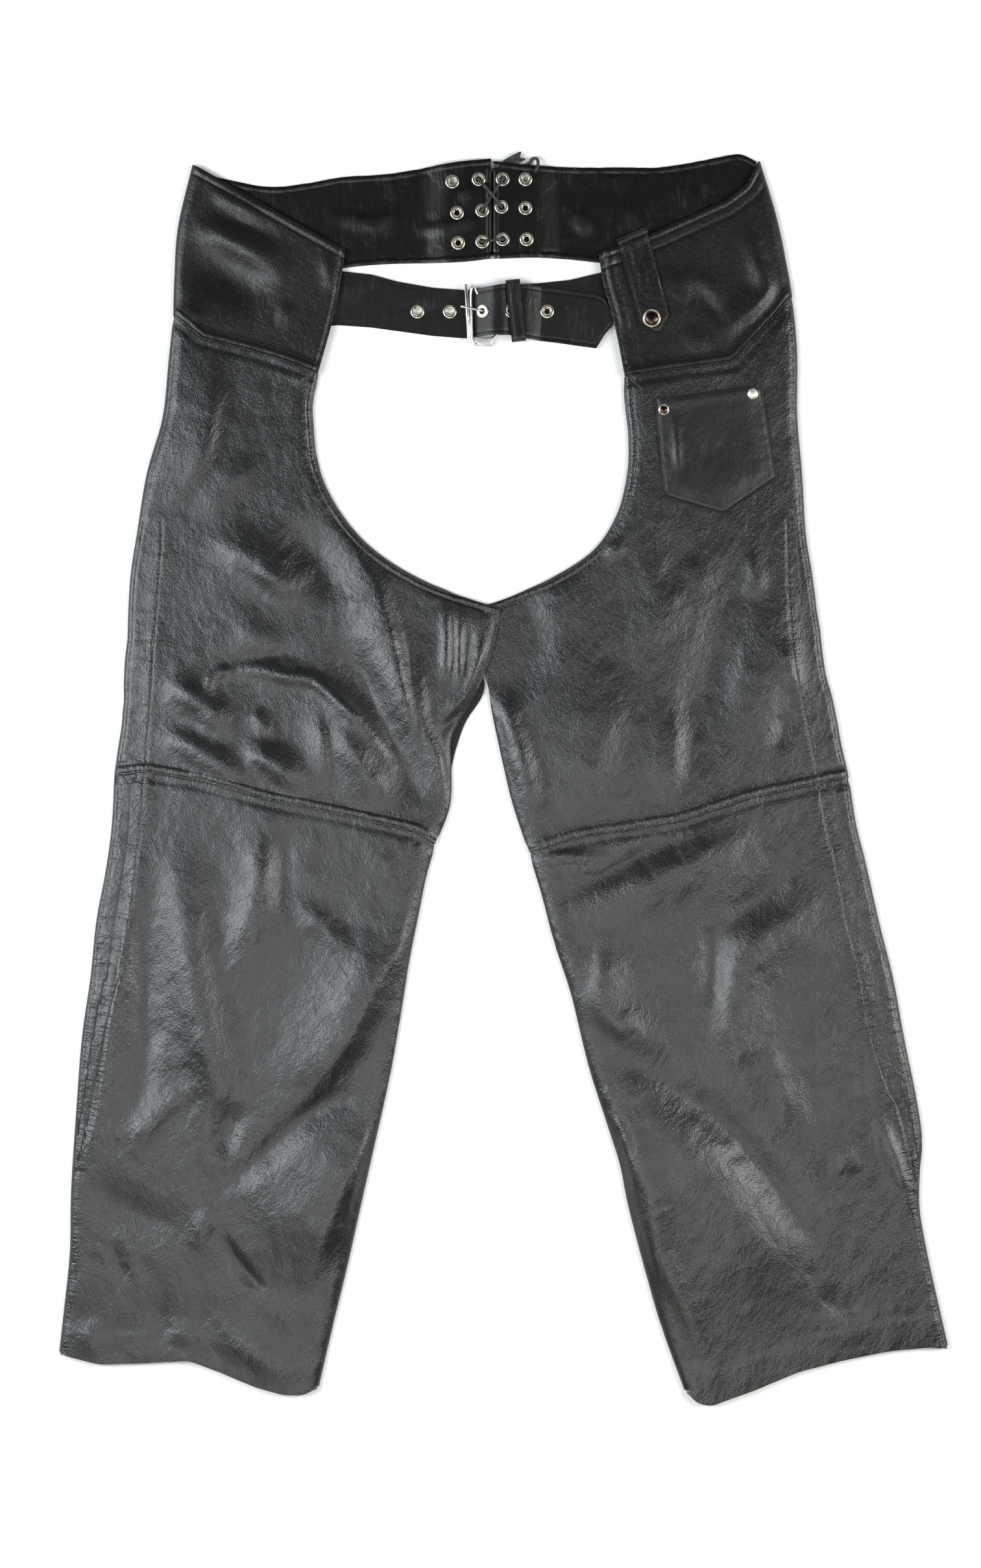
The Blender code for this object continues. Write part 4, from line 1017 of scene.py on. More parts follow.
def keep(made, slot, *nodes):
    """Rides a finished piece on the chaps in place of CAD nodes. slot is not used."""
    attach(made, "root")
    if nodes:
        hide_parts(*nodes)
    PIECES[made.name] = made
    made.data.calc_loop_triangles()
    print(f"{made.name}: {len(made.data.loop_triangles)} triangles")
    return made


# %% [markdown]
# ## Where the grid's lines go
# A stitched groove is two millimetres wide and a panel three hundred, so an even grid fine enough for the
# groove would have hundreds of thousands of faces. These steps put the lines close together at edges, seams
# and the zip's strip and far apart in between, as an artist would with loop cuts.

# %% Stations across and down a panel
EDGE_STEPS = np.array([0, 0.5, 1.1, 1.8, 2.5, 3.2, 3.9, 4.7, 5.6, 6.6, 7.8, 9.2])
SEAM_STEPS = np.array([0, 0.6, 1.2, 1.8, 2.4, 3.0, 3.8, 4.8, 5.8, 6.6, 7.4, 8.2, 9.4, 11])
LINE_STEPS = np.array([-2.6, -1.5, -0.7, 0, 0.7, 1.5, 2.6])


def placket_offset(side, row):
    """How far the placket's inner line is from the outer edge, on one row of a panel."""
    ys, xs = np.array(sorted((p[1], p[0]) for p in PLACKET[side])).T
    wide = abs(row[2] - row[0])
    share = 22 / wide
    for _ in range(3):
        y = row[1] + (row[3] - row[1]) * share
        share = abs(np.interp(y, ys, xs) - row[0]) / wide
    return max(share * wide, 14.0)


def column_shares(count, wide, line=None):
    """Shares across a row: crowded at both edges and, if line is given, at that distance from the outer one."""
    if line is None:
        middle = np.linspace(EDGE_STEPS[-1], wide - EDGE_STEPS[-1], count + 3 - 2 * len(EDGE_STEPS))[1:-1]
        return np.concatenate([EDGE_STEPS, middle, (wide - EDGE_STEPS)[::-1]]) / wide
    first = np.linspace(EDGE_STEPS[-1], line + LINE_STEPS[0], 6)[1:-1]
    left = count + 1 - 2 * len(EDGE_STEPS) - len(first) - len(LINE_STEPS)
    second = np.linspace(line + LINE_STEPS[-1], wide - EDGE_STEPS[-1], left + 2)[1:-1]
    return np.concatenate([EDGE_STEPS, first, line + LINE_STEPS, second, (wide - EDGE_STEPS)[::-1]]) / wide


def row_stations(count, long):
    middle = np.linspace(SEAM_STEPS[-1], long - SEAM_STEPS[-1], count + 3 - 2 * len(SEAM_STEPS))[1:-1]
    return np.concatenate([SEAM_STEPS, middle, (long - SEAM_STEPS)[::-1]])


print("stations:", len(row_stations(100, 400)), len(column_shares(100, 250)), len(column_shares(100, 250, 24)))


# %% [markdown]
# ## The front panels
# The thigh is sewn over the shin at the knee and the yoke over the thigh, as on the real garment, so the
# upper panel ends in a small step and the lower one runs on under it. The whole front is one relief, which
# is why the folds run through the seams without a jump.


# %% Yokes, thighs and shins
UNDER = 3.0  # how far a lower panel runs on under the one that is sewn over it
SIZES = {"yoke": (100, 84), "thigh": (168, 186), "shin": (160, 216)}


def gather(made, seams):
    """Stores, for a hide's finish, how hard its nearest seam gathers it. A seam is a line, strength and reach."""
    mesh = made.data
    points = np.empty(len(mesh.vertices) * 3)
    mesh.vertices.foreach_get("co", points)
    x, y = points[0::3] / MM, points[1::3] / MM
    run, away, pull = (np.zeros(len(x)) for _ in range(3))
    for line, strength, reach in seams:
        far, at, _ = near(line, x, y)
        here = strength * np.exp(-((far / reach) ** 2)) * smooth(far / 1.5 + 0.3)
        stronger = here > pull
        run[stronger], away[stronger], pull[stronger] = at[stronger], far[stronger], here[stronger]
    for name, values in (("seam_run", run), ("seam_away", away), ("seam_pull", pull)):
        mesh.attributes.new(name, "FLOAT", "POINT").data.foreach_set("value", values.astype(np.float32))


GATHERS = {
    "yoke": (("yoke", 0.5, 7), ("top", 0.45, 8), ("front", 0.3, 6)),
    "thigh": (("knee", 1.0, 8), ("yoke", 0.35, 8), ("arch", 0.6, 8), ("outer", 0.2, 9), ("placket", 0.45, 7)),
    "shin": (("knee", 0.45, 9), ("outer", 0.6, 11), ("placket", 0.9, 9), ("hem", 0.15, 10)),
}


def front_panel(part, side, finish):
    rows, run = panel_rows(part, side)
    columns, down_count = SIZES[part]
    stations = row_stations(down_count, run[-1])
    seams = panel_seams(part, side)
    x_grid, y_grid = [], []
    for down in stations:
        row = [np.interp(down, run, rows[:, k]) for k in range(4)]
        wide = math.hypot(row[2] - row[0], row[3] - row[1])
        line = placket_offset(side, row) if part != "yoke" else None
        share = column_shares(columns, wide, line)
        x, y = across(rows, run, np.full(share.shape, down), share, seams)
        if part != "yoke":
            y = y + UNDER * (1 - smooth(down / 12))
        x_grid.append(x)
        y_grid.append(y)
    x_grid, y_grid = np.array(x_grid), np.array(y_grid)
    heights = front_height(part, side, x_grid, y_grid)

    def place(column, row):
        return x_grid[row, column], y_grid[row, column], heights[row, column]

    made = grid(f"{part}_leather_{side}", columns, down_count, place)
    edge_finish = EDGE if part == "shin" else EDGE_DYED
    thicken(made, HIDE, (finish, FLESH, edge_finish))
    gather(made, [(LINES[side][name], strength, reach) for name, strength, reach in GATHERS[part]])
    return keep(made, "leather", f"{part}_front_{side}")


for side in SIDES:
    front_panel("yoke", side, YOKE_LEATHER)
    front_panel("thigh", side, LEATHER)
    # The right shin's warmer leather is painted warm light.
    front_panel("shin", side, LEATHER if side == "left" else LEATHER_WARM_LIT)


# %% [markdown]
# ## The back panels
# The leg is a tube pressed flat, and its back lies on the table under the front. Only its rim shows, at the
# seat arch and the hems. It has the same pattern as the front, drawn in a few millimetres, but it needs no
# relief, so its grid is coarse. Its fleshy inner side faces up, and its grain side lies on the table.

# %% Back panels
def back_panel(part, side, tables, seams, insets, columns, count):
    """A back panel, flat on the ground, its sides drawn in by insets at its outer and its inner edge."""
    rows, run = chain([table[side] for table in tables])
    down = np.linspace(0, run[-1], count + 1)
    share = np.linspace(0, 1, columns + 1)
    names = tuple(f"{name}_{side}" for name in seams)

    def place(column, row):
        x, y = across(rows, run, down[row], share[column], names)
        inwards = 1 if side == "left" else -1
        x = x + inwards * (insets[0] * (1 - share[column]) - insets[1] * share[column])
        return x, y - SEAM * (1 - down[row] / run[-1]), np.zeros(x.shape)

    made = grid(f"{part}_back_leather_{side}", columns, count, place)
    return keep(thicken(made, HIDE, (FLESH, LEATHER, EDGE_DYED)), "leather", f"{part}_back_{side}")


for side in SIDES:
    back_panel("thigh", side, [BACK_ARCH, BACK_INSEAM], ("back", "knee"), (3, 0), 24, 90)
    back_panel("shin", side, [SHIN], ("knee", "hem"), (3, 3), 40, 60)

# %% [markdown]
# ## The back band
# Behind the waist, two halves of the band face up with their inner side: an old, cracked lining leather.
# They are laced together through two columns of eyelets. Their holes are cut with a Boolean, as the tool
# that sets an eyelet punches them.

# %% Band halves and their holes
EYELETS = {
    "left": [(-43, 498), (-39, 472), (-38, 447), (-21, 500), (-18, 474), (-18, 448)],
    "right": [(-1, 500), (-2, 477), (-1, 450), (18, 500), (18, 476), (19, 450)],
}
BARREL = 2.9  # an eyelet's outer radius where it goes through the leather
BAND_RISE = 3.2  # how high the laced ends stand, with the lace's lower runs under them
BAND_WIDE, BAND_ROW = 83, 5.2  # how wide it is, and how far from its edges it is stitched


def apply_all(made):
    pick(made)
    for modifier in [m.name for m in made.modifiers]:
        bpy.ops.object.modifier_apply(modifier=modifier)


def punch(made, places, radius):
    """Cuts round holes straight through a piece, all in one Boolean."""
    deselect()
    punches = []
    for x, y in places:
        bpy.ops.mesh.primitive_cylinder_add(
            vertices=24, radius=radius * MM, depth=0.06, location=(x * MM, y * MM, 0.005)
        )
        punches.append(bpy.context.object)
    pick(*reversed(punches))
    bpy.ops.object.join()
    tool = bpy.context.object
    bpy.ops.object.transform_apply(location=True, rotation=True, scale=True)
    hole = made.modifiers.new("Holes", "BOOLEAN")
    hole.operation = "DIFFERENCE"
    hole.object = tool
    apply_all(made)
    bpy.data.objects.remove(tool)
    return made


def band_level(x):
    return BAND_RISE * smooth((60 - np.abs(x + 10)) / 25)


def shade_sheet_place(column, row):
    """A thin dark sheet behind the laced gap, which the inner eyelets are set over. It is painted shade: it darkens
    the holes, where the floor would show.
    """
    x = -44 + 70 * column / 28
    top = 488 + 20 * smooth((21 - np.abs(x + 9)) / 3)
    return x, top + (437 - top) * row / 12, 0.02 + 0 * x


def add_shade_sheet(band):
    dark_sheet = thicken(grid("painted_shade_sheet", 28, 12, shade_sheet_place), 0.16, (BAND_LEATHER, YOKE_LEATHER, EDGE_DYED))
    pick(dark_sheet, band)
    bpy.ops.object.join()


def band_half(side):
    rows, run = chain([BAND[side]])
    count, columns = 110, 44
    stations = np.concatenate([[0, 0.5, 1.1, 1.8, 2.6, 3.6, 5], np.linspace(6.5, run[-1], count - 6)])
    edge = np.append(EDGE_STEPS, 9.5) / BAND_WIDE
    share = np.concatenate([edge, np.linspace(0.13, 0.87, columns + 1 - 2 * len(edge)), 1 - edge[::-1]])

    def place(column, row):
        ends = np.stack([np.interp(stations[row], run, rows[:, k]) for k in range(4)], -1)
        s = share[column]
        x = ends[:, 0] + (ends[:, 2] - ends[:, 0]) * s
        y = ends[:, 1] + (ends[:, 3] - ends[:, 1]) * s
        wide = np.hypot(ends[:, 2] - ends[:, 0], ends[:, 3] - ends[:, 1])
        top, low = s * wide, (1 - s) * wide
        edge_gap = np.minimum(top, low)
        lift = folded(BAND_FOLDS[side], x, y) * smooth(edge_gap / 8) * smooth(stations[row] / 6)
        z = band_level(x) + lift + 0.6 * bell(stations[row] - 1.6, 1.5) + 0.55
        for far, seed in ((top, 51), (low, 52)):
            z = z + sewn(far, (BAND_ROW,), 0.5) + 0.5 * bell(far - 2.4, 1.8) + 0.9 * puckers(far, x, 3.4, 9, seed)
        z = z + (mottle(x, y * 0.3, 5, 53) - 0.5) * 0.35 * smooth(edge_gap / 4)
        return x, y, np.maximum(z - 0.55, band_level(x))

    made = grid(f"band_leather_{side}", len(share) - 1, len(stations) - 1, place)
    made = thicken(made, HIDE, (BAND_LEATHER, YOKE_LEATHER, EDGE_DYED))
    punch(made, EYELETS[side], BARREL + 0.15)
    # The thin dark sheet under the left half's holes is painted shade, in place of the shadow inside them.
    if side == "left":
        add_shade_sheet(made)
    return keep(made, "leather", f"yoke_back_{side}")


for side in SIDES:
    band_half(side)

# %% [markdown]
# ## Laying pieces on pieces
# The belt, the pocket and the tab lie on the panels below them. A ray cast straight down finds the height of
# what is there, as a hand pressed on the leather would.


# %% Finding the surface below
def surface(*pieces):
    """A search tree of the pieces' faces."""
    points, faces = [], []
    for piece in pieces:
        mesh = piece.data
        start = len(points)
        points += [v.co.copy() for v in mesh.vertices]
        faces += [tuple(start + i for i in p.vertices) for p in mesh.polygons]
    return BVHTree.FromPolygons(points, faces)


def height_at(tree, x, y, default=0.0):
    """How high the pieces in a tree stand at each point, in millimetres."""
    down = Vector((0, 0, -1))
    found = []
    for px, py in zip(np.ravel(x), np.ravel(y)):
        hit = tree.ray_cast(Vector((px * MM, py * MM, 0.1)), down)[0]
        found.append(default if hit is None else hit.z / MM)
    return np.array(found).reshape(np.shape(x))


def highest_near(tree, x, y, reach, default=0.0):
    """The highest that the pieces stand within reach of each point."""
    around = [(0, 0), (reach, 0), (-reach, 0), (0, reach), (0, -reach)]
    return np.max([height_at(tree, x + dx, y + dy, default) for dx, dy in around], axis=0)


def relaxed(heights, times):
    """Heights on a grid with their small bumps smoothed, but never lowered below where they were by much."""
    for _ in range(times):
        padded = np.pad(heights, 1, mode="edge")
        mean = (padded[:-2, 1:-1] + padded[2:, 1:-1] + padded[1:-1, :-2] + padded[1:-1, 2:]) / 4
        heights = np.maximum((heights + mean) / 2, heights - 0.05)
    return heights


thigh_skin = surface(PIECES["thigh_leather_right"])
print("thigh at the pocket, mm:", height_at(thigh_skin, np.array([170.0]), np.array([290.0])))

# %% [markdown]
# ## The coin pocket
# A five-cornered patch of smoother leather, stitched round its sides and point and held by a rivet at each
# top corner. Its top edge is folded in, so it is a little thicker and stands off the thigh.

# %% Pocket
POCKET = [(125, 316, 215, 329), (129, 275, 221, 290), (133, 235, 228, 251)]
POCKET_COLUMNS, POCKET_ROWS = 56, 56
POCKET_THICK, POCKET_ROW = 1.4, 2.8  # its leather, and how far from its edge it is stitched


def pocket_outline(share, v):
    rows = along(POCKET, v)
    x = rows[..., 0] + (rows[..., 2] - rows[..., 0]) * share
    point = np.interp(share, (0, 0.53, 1), (0, -23, 0))
    return x, rows[..., 1] + (rows[..., 3] - rows[..., 1]) * share + point * v**2


steps = np.array([0, 0.6, 1.3, 2.0, 2.7, 3.4, 4.2, 5.4, 7])
column_share = np.concatenate([steps, np.linspace(9, 83, POCKET_COLUMNS + 1 - 18), (92 - steps)[::-1]]) / 92
row_share = np.concatenate([steps, np.linspace(9, 77, POCKET_ROWS + 1 - 18), (86 - steps)[::-1]]) / 86
pu, pv = np.meshgrid(column_share, row_share)
pocket_x, pocket_y = pocket_outline(pu, pv)
pocket_low = relaxed(highest_near(thigh_skin, pocket_x, pocket_y, 3.5), 4) + 0.12
edge_points = np.vstack([
    np.stack(pocket_outline(np.zeros(30), np.linspace(0, 1, 30)), 1),
    np.stack(pocket_outline(np.linspace(0, 1, 60), np.ones(60)), 1),
    np.stack(pocket_outline(np.ones(30), np.linspace(1, 0, 30)), 1),
])
pocket_edge, pocket_run, _ = near(edge_points, pocket_x, pocket_y)
pocket_top = near(np.stack(pocket_outline(np.linspace(0, 1, 60), np.zeros(60)), 1), pocket_x, pocket_y)[0]
swell = 0.9 * smooth((pocket_edge - 3) / 14) + 0.5 * bell(pocket_top - 4, 4) * smooth(pocket_edge / 6)
pocket_low = pocket_low + swell + sewn(pocket_edge, (POCKET_ROW,), 0.35, 0.8) * smooth(pocket_edge / 1.5)
pocket_low = pocket_low + 0.9 * puckers(pocket_edge, pocket_run, 3.4, 6, 61) * smooth((pocket_edge - 2.5) / 2)
ridge = bell(pocket_x - (143 - (pocket_y - 300) * 0.05), 3)  # a soft crease down its left part
pocket_low = pocket_low + 0.9 * ridge * smooth((304 - pocket_y) / 20) * smooth((pocket_y - 255) / 15)


def pocket_place(column, row):
    return pocket_x[row, column], pocket_y[row, column], pocket_low[row, column]


made = grid("coin_pocket_leather", POCKET_COLUMNS, POCKET_ROWS, pocket_place)
keep(thicken(made, POCKET_THICK, (POCKET_LEATHER, FLESH, EDGE_DYED)), "smooth_leather", "coin_pocket")

# %% [markdown]
# ## The belt
# The tongue comes from under the left yoke, runs through the buckle and the keeper and ends in a cut point.
# The short strap holds the buckle: it folds round the end bar and comes back under the tongue.

# %% Tongue, short strap
TONGUE = [
    (-185, 414, 371, LAID), (-156, 420, 377, LAID), (-138, 424, 379, 0), (-110, 421, 377, 0), (-88, 415, 374, 0),
    (-59, 410, 370, 0), (-32, 408, 368, 0), (-25, 409, 369, 0.2), (-19, 409.5, 369.5, 3.0), (-14, 410, 370, 6.0),
    (-9, 411, 370.5, 8.3), (-1, 412.5, 371, 8.3), (3, 412.8, 370.5, 6.9), (6, 413, 370, 6.5), (19, 412, 367.5, 6.5),
    (23, 411.5, 367, 5.3), (25.5, 411.2, 366.5, 4.8), (30, 410.6, 365.7, 2.3), (45, 409, 364, 2.3),
    (62, 406.5, 361.5, 2.3), (77, 404.5, 359.5, 2.3), (84, 401, 371, 2.3), (91, 387, 379, 2.3),
]
BELT_MIDDLE, PRONG_EYELET = 390, -17.8
BELT_EYELETS = [-72, -45, 36, 6, PRONG_EYELET]  # the first three are in the frame too
BELT_COLUMNS = 44


def strap_shares(columns, wide):
    """Shares across a strap, crowded at its edges, for a width in millimetres."""
    steps = np.array([0, 0.5, 1.1, 1.7, 2.4, 3.1, 4.0, 5.2])
    middle = np.linspace(steps[-1], wide - steps[-1], columns + 3 - 2 * len(steps))[1:-1]
    return np.concatenate([steps, middle, (wide - steps)[::-1]]) / wide


tongue_rows = np.array(TONGUE)
tongue_x = np.concatenate([
    np.arange(-185, -30, 2.2), np.arange(-30, 34, 0.9), np.arange(34, 77, 2.0), np.linspace(77, 91, 12),
])
tongue_share = strap_shares(BELT_COLUMNS, 43)


def tongue_place(column, row):
    x = tongue_x[row]
    top, low = (np.interp(x, tongue_rows[:, 0], tongue_rows[:, k]) for k in (1, 2))
    under = np.mean([np.interp(x + d, tongue_rows[:, 0], tongue_rows[:, 3]) for d in (-1.6, 0, 1.6)], axis=0)
    share = tongue_share[column]
    y = top + (low - top) * share
    edge_gap = np.minimum(share, 1 - share) * (top - low)
    z = under + sewn(edge_gap, (3.0,), 0.3, 0.8) + (mottle(x, y * 0.25, 3.2, 71) - 0.5) * 0.35 * smooth(edge_gap / 4)
    return x, y, np.where(under < 0.4, np.maximum(z, 0), z)


made = grid("belt_tongue_leather", BELT_COLUMNS, len(tongue_x) - 1, tongue_place)
tongue = thicken(made, BELT, (BELT_LEATHER, FLESH, EDGE_DYED))
tongue_top = surface(tongue)
tongue_holes = [(x, BELT_MIDDLE) for x in BELT_EYELETS]
tongue_heights = height_at(tongue_top, *np.array(tongue_holes, float).T)
punch(tongue, tongue_holes, BARREL + 0.15)
keep(tongue, "belt_leather", "belt_tongue")

# %% [markdown]
# ## The short strap
# The strap that holds the buckle runs along the table, wraps round the end bar and comes back over itself.
# It could be bent with a curve and a modifier, but here it is a grid that follows its side view, a run of
# straights and one half circle round the bar. A slot cut with a Boolean lets the prong out.

# %% Short strap
BAR_END, BAR_WIRE = (-4, 3.8), 1.5  # the buckle's end bar: its place along the belt and height, and radius
fold_radius = BAR_WIRE + GAP + STRAP / 2
strap_path = [(125, LAID + 1), (104, LAID + 1), (95, 1), (60, 1), (36, 1), (16, 1)]
strap_path += [
    (BAR_END[0] - fold_radius * math.sin(a), BAR_END[1] - fold_radius * math.cos(a))
    for a in np.linspace(0, math.pi, 12)
]
strap_path += [(0, 6.4), (3, 5.5), (6, 4.9), (18, 4.9), (21.5, 3.4), (25, 3.3)]
strap_path = np.array(strap_path)
strap_run = np.concatenate([[0], np.cumsum(np.hypot(*np.diff(strap_path, axis=0).T))])
strap_down = np.unique(np.concatenate([np.linspace(0, strap_run[-1], 90), strap_run]))
strap_edges = np.array([
    (-8, 410.8, 371), (2, 410.8, 371), (16, 412.5, 371), (55, 416.5, 374), (82, 423, 380), (125, 430, 388),
])
strap_share = strap_shares(30, 40)


def strap_place(column, row):
    x, z = (np.interp(strap_down[row], strap_run, strap_path[:, k]) for k in (0, 1))
    top, low = (np.interp(x, strap_edges[:, 0], strap_edges[:, k]) for k in (1, 2))
    return x, top + (low - top) * strap_share[column], z


def block(place, size, turn=(0, 0, 0)):
    """A box: its middle and its size in millimetres, and its turn about each axis in radians."""
    deselect()
    bpy.ops.mesh.primitive_cube_add(size=1, location=[c * MM for c in place])
    made = bpy.context.object
    made.scale = [c * MM for c in size]
    made.rotation_euler = turn
    bpy.ops.object.transform_apply(location=True, rotation=True, scale=True)
    return made


made = grid("belt_strap_leather", 30, len(strap_down) - 1, strap_place)
strap = thicken(made, STRAP, (BELT_LEATHER, BELT_LEATHER, EDGE_DYED), grow=0)
slot_tool = block((-5, BELT_MIDDLE, 5.5), (14, 4, 13))  # the prong comes through this slot
slot_cut = strap.modifiers.new("Slot", "BOOLEAN")
slot_cut.object = slot_tool
apply_all(strap)
bpy.data.objects.remove(slot_tool)
keep(strap, "belt_leather", "belt_short_strap")

# %% [markdown]
# ## The keeper
# A loop of leather that holds the belt's loose end down. It is a flat oblong tube: a grid is wrapped round a
# rounded oblong, its two ends are merged with Merge by Distance, and Solidify gives it a wall. It sits a
# little askew, as loose keepers do.

# %% Keeper
KEEPER = {"at": (10, 390.6), "wide": 12, "wall": 1.2, "inside": 49.5, "low": 2.3, "high": 11.2, "turn": 6}
KEEPER_SHARES = strap_shares(18, KEEPER["wide"])


def keeper_path(count):
    """The middle of the keeper's wall, a rounded oblong round the belt: places across the belt and heights."""
    half = (KEEPER["inside"] + KEEPER["wall"]) / 2
    low, high = KEEPER["low"] + KEEPER["wall"] / 2, KEEPER["high"] - KEEPER["wall"] / 2
    radius = 3.0
    points = []
    for sign_y, sign_z, start in ((1, 1, 0), (-1, 1, 90), (-1, -1, 180), (1, -1, 270)):
        cy = sign_y * (half - radius)
        cz = (high - radius) if sign_z > 0 else (low + radius)
        for turn in range(0, 91, 15):
            angle = math.radians(start + turn)
            points.append((cy + radius * math.cos(angle), cz + radius * math.sin(angle)))
    points = np.array(points + points[:1])
    run = np.concatenate([[0], np.cumsum(np.hypot(*np.diff(points, axis=0).T))])
    at = np.linspace(0, run[-1], count + 1)
    return np.interp(at, run, points[:, 0]), np.interp(at, run, points[:, 1])


def keeper_place(column, row):
    across_belt, heights = keeper_path(110)
    angle = math.radians(KEEPER["turn"])
    sideways = (KEEPER_SHARES[column] - 0.5) * KEEPER["wide"]
    lengthways = across_belt[row]
    x = KEEPER["at"][0] + sideways * math.cos(angle) - lengthways * math.sin(angle)
    y = KEEPER["at"][1] + sideways * math.sin(angle) + lengthways * math.cos(angle)
    edge_gap = np.minimum(KEEPER_SHARES[column], 1 - KEEPER_SHARES[column]) * KEEPER["wide"]
    outward = np.where(heights[row] > 6.5, 1.0, 0.0)
    return x, y, heights[row] + outward * (sewn(edge_gap, (2.0,), 0.3, 0.7) + 0.25 * bell(edge_gap - 6, 3))


made = grid("keeper_leather", 18, 110, keeper_place)
clean(made, 0.05)
keeper = thicken(made, KEEPER["wall"], (BELT_LEATHER, BELT_LEATHER, EDGE_DYED), grow=0)
keep(keeper, "belt_leather", "belt_keeper")

# %% [markdown]
# ## The snap tab
# A strap that folds over the top edge of the right yoke and snaps down on its front. Its end is cut to a
# point, off its middle line, and it is stitched round.

# %% Tab
TAB = {"top": (107, 452.5), "point": (129, 370), "wide": 26.4, "shoulder": 72, "inside": 10, "slant": 0.15}
yoke_skin = surface(PIECES["yoke_leather_right"])
tab_top, tab_point = np.array(TAB["top"]), np.array(TAB["point"], float)
tab_long = float(np.hypot(*(tab_point - tab_top)))
tab_axis = (tab_point - tab_top) / tab_long
tab_side = np.array([-tab_axis[1], tab_axis[0]])
TAB_COLUMNS, TAB_ROW = 28, 2.2
tab_share = strap_shares(TAB_COLUMNS, TAB["wide"])
tab_runs = np.concatenate([
    np.linspace(-TAB["inside"] - 6, -6, 8)[:-1], np.linspace(-6, 0, 14)[:-1], np.linspace(0, TAB["shoulder"], 46)[:-1],
    np.linspace(TAB["shoulder"], tab_long, 16),
])
tab_u, tab_run = np.meshgrid(tab_share, tab_runs)
inside_z = LAID + LOFT - GAP - HIDE / 2
outside_z = LAID + LOFT + HIDE + GAP + HIDE / 2
half_wide = TAB["wide"] / 2 * np.clip((tab_long - tab_run) / (tab_long - TAB["shoulder"]), 0.03, 1)
sideways = (tab_u - 0.5) * 2 * half_wide
fold_turn = math.pi * np.clip(-tab_run / 6, 0, 1)
down = np.where(tab_run > 0, tab_run, np.where(tab_run < -6, -6 - tab_run, -2.4 * np.sin(fold_turn)))
down = down - TAB["slant"] * sideways * (1 - smooth(tab_run / tab_long))
tab_x = tab_top[0] + tab_axis[0] * down + tab_side[0] * sideways
tab_y = tab_top[1] + tab_axis[1] * down + tab_side[1] * sideways
resting = relaxed(highest_near(yoke_skin, tab_x, tab_y, 2.5, outside_z), 6) + 0.15 + HIDE / 2
fold_z = (inside_z + outside_z) / 2 + (outside_z - inside_z) / 2 * np.cos(fold_turn)
tab_z = np.where(tab_run < -6, inside_z, np.where(tab_run < 0, fold_z, np.maximum(resting, outside_z)))
blend = smooth(tab_run / 8)
tab_z = np.where(tab_run > 0, outside_z * (1 - blend) + np.maximum(resting, outside_z) * blend, tab_z)
tab_gap = np.minimum(half_wide - np.abs(sideways), (tab_long - tab_run) * 0.6)
swell = 0.7 * bell(sideways + 1.5, 4) * smooth(tab_run / 10) * smooth((55 - tab_run) / 20)
tab_z = tab_z + (tab_run > 2) * (sewn(tab_gap, (TAB_ROW,), 0.3, 0.7) + swell)
crumple = (mottle(tab_x, tab_y, 3.0, 81) - 0.5) * 0.3 * bell(sideways + 1, 6) * smooth((60 - tab_run) / 20)
tab_z = tab_z + (tab_run > 2) * crumple


def tab_place(column, row):
    return tab_x[row, column], tab_y[row, column], tab_z[row, column]


made = grid("snap_tab_leather", TAB_COLUMNS, len(tab_runs) - 1, tab_place)
tab = thicken(made, HIDE, (YOKE_LEATHER, FLESH, EDGE_DYED), grow=0)
keep(tab, "smooth_leather", "snap_tab")

# %% [markdown]
# ## Turned metal
# Eyelets, rivets and the snap are round, so each is turned once: a ring of vertices is extruded and resized
# again and again along its profile, which is what a lathe does. The finished piece is copied to each of its
# places, every copy with a mesh of its own.


# %% Turning, and the eyelets
def ring_profile(name, profile, finish, segments=36):
    """Turns a closed profile of (radius, height) in millimetres into a ring about the origin."""
    deselect()
    (radius, height), rest = profile[0], profile[1:]
    bpy.ops.mesh.primitive_circle_add(vertices=segments, radius=radius * MM, location=(0, 0, height * MM))
    made = bpy.context.object
    bpy.ops.object.transform_apply(location=True, rotation=True, scale=True)
    made.name = made.data.name = name
    bpy.ops.object.mode_set(mode="EDIT")
    bpy.ops.mesh.select_all(action="SELECT")
    for next_radius, next_height in rest:
        bpy.ops.mesh.extrude_edges_move(TRANSFORM_OT_translate={"value": (0, 0, (next_height - height) * MM)})
        scale = next_radius / radius
        bpy.ops.transform.resize(value=(scale, scale, 1), center_override=(0, 0, next_height * MM))
        radius, height = next_radius, next_height
    if profile[-1] != profile[0]:
        bpy.ops.mesh.edge_face_add()
    clean(made, 0.01)
    bpy.ops.object.shade_smooth_by_angle(angle=math.radians(60))
    return put_on(made, finish)


def copy_to(model, name, x, y, z, tilt=(0, 0)):
    """A copy with its own mesh, tilted about X and Y in radians and then moved, in millimetres."""
    made = bpy.data.objects.new(name, model.data.copy())
    made.data.name = name
    bpy.context.scene.collection.objects.link(made)
    turn = Matrix.Rotation(tilt[0], 4, "X") @ Matrix.Rotation(tilt[1], 4, "Y")
    made.data.transform(Matrix.Translation(Vector((x, y, z)) * MM) @ turn)
    return made


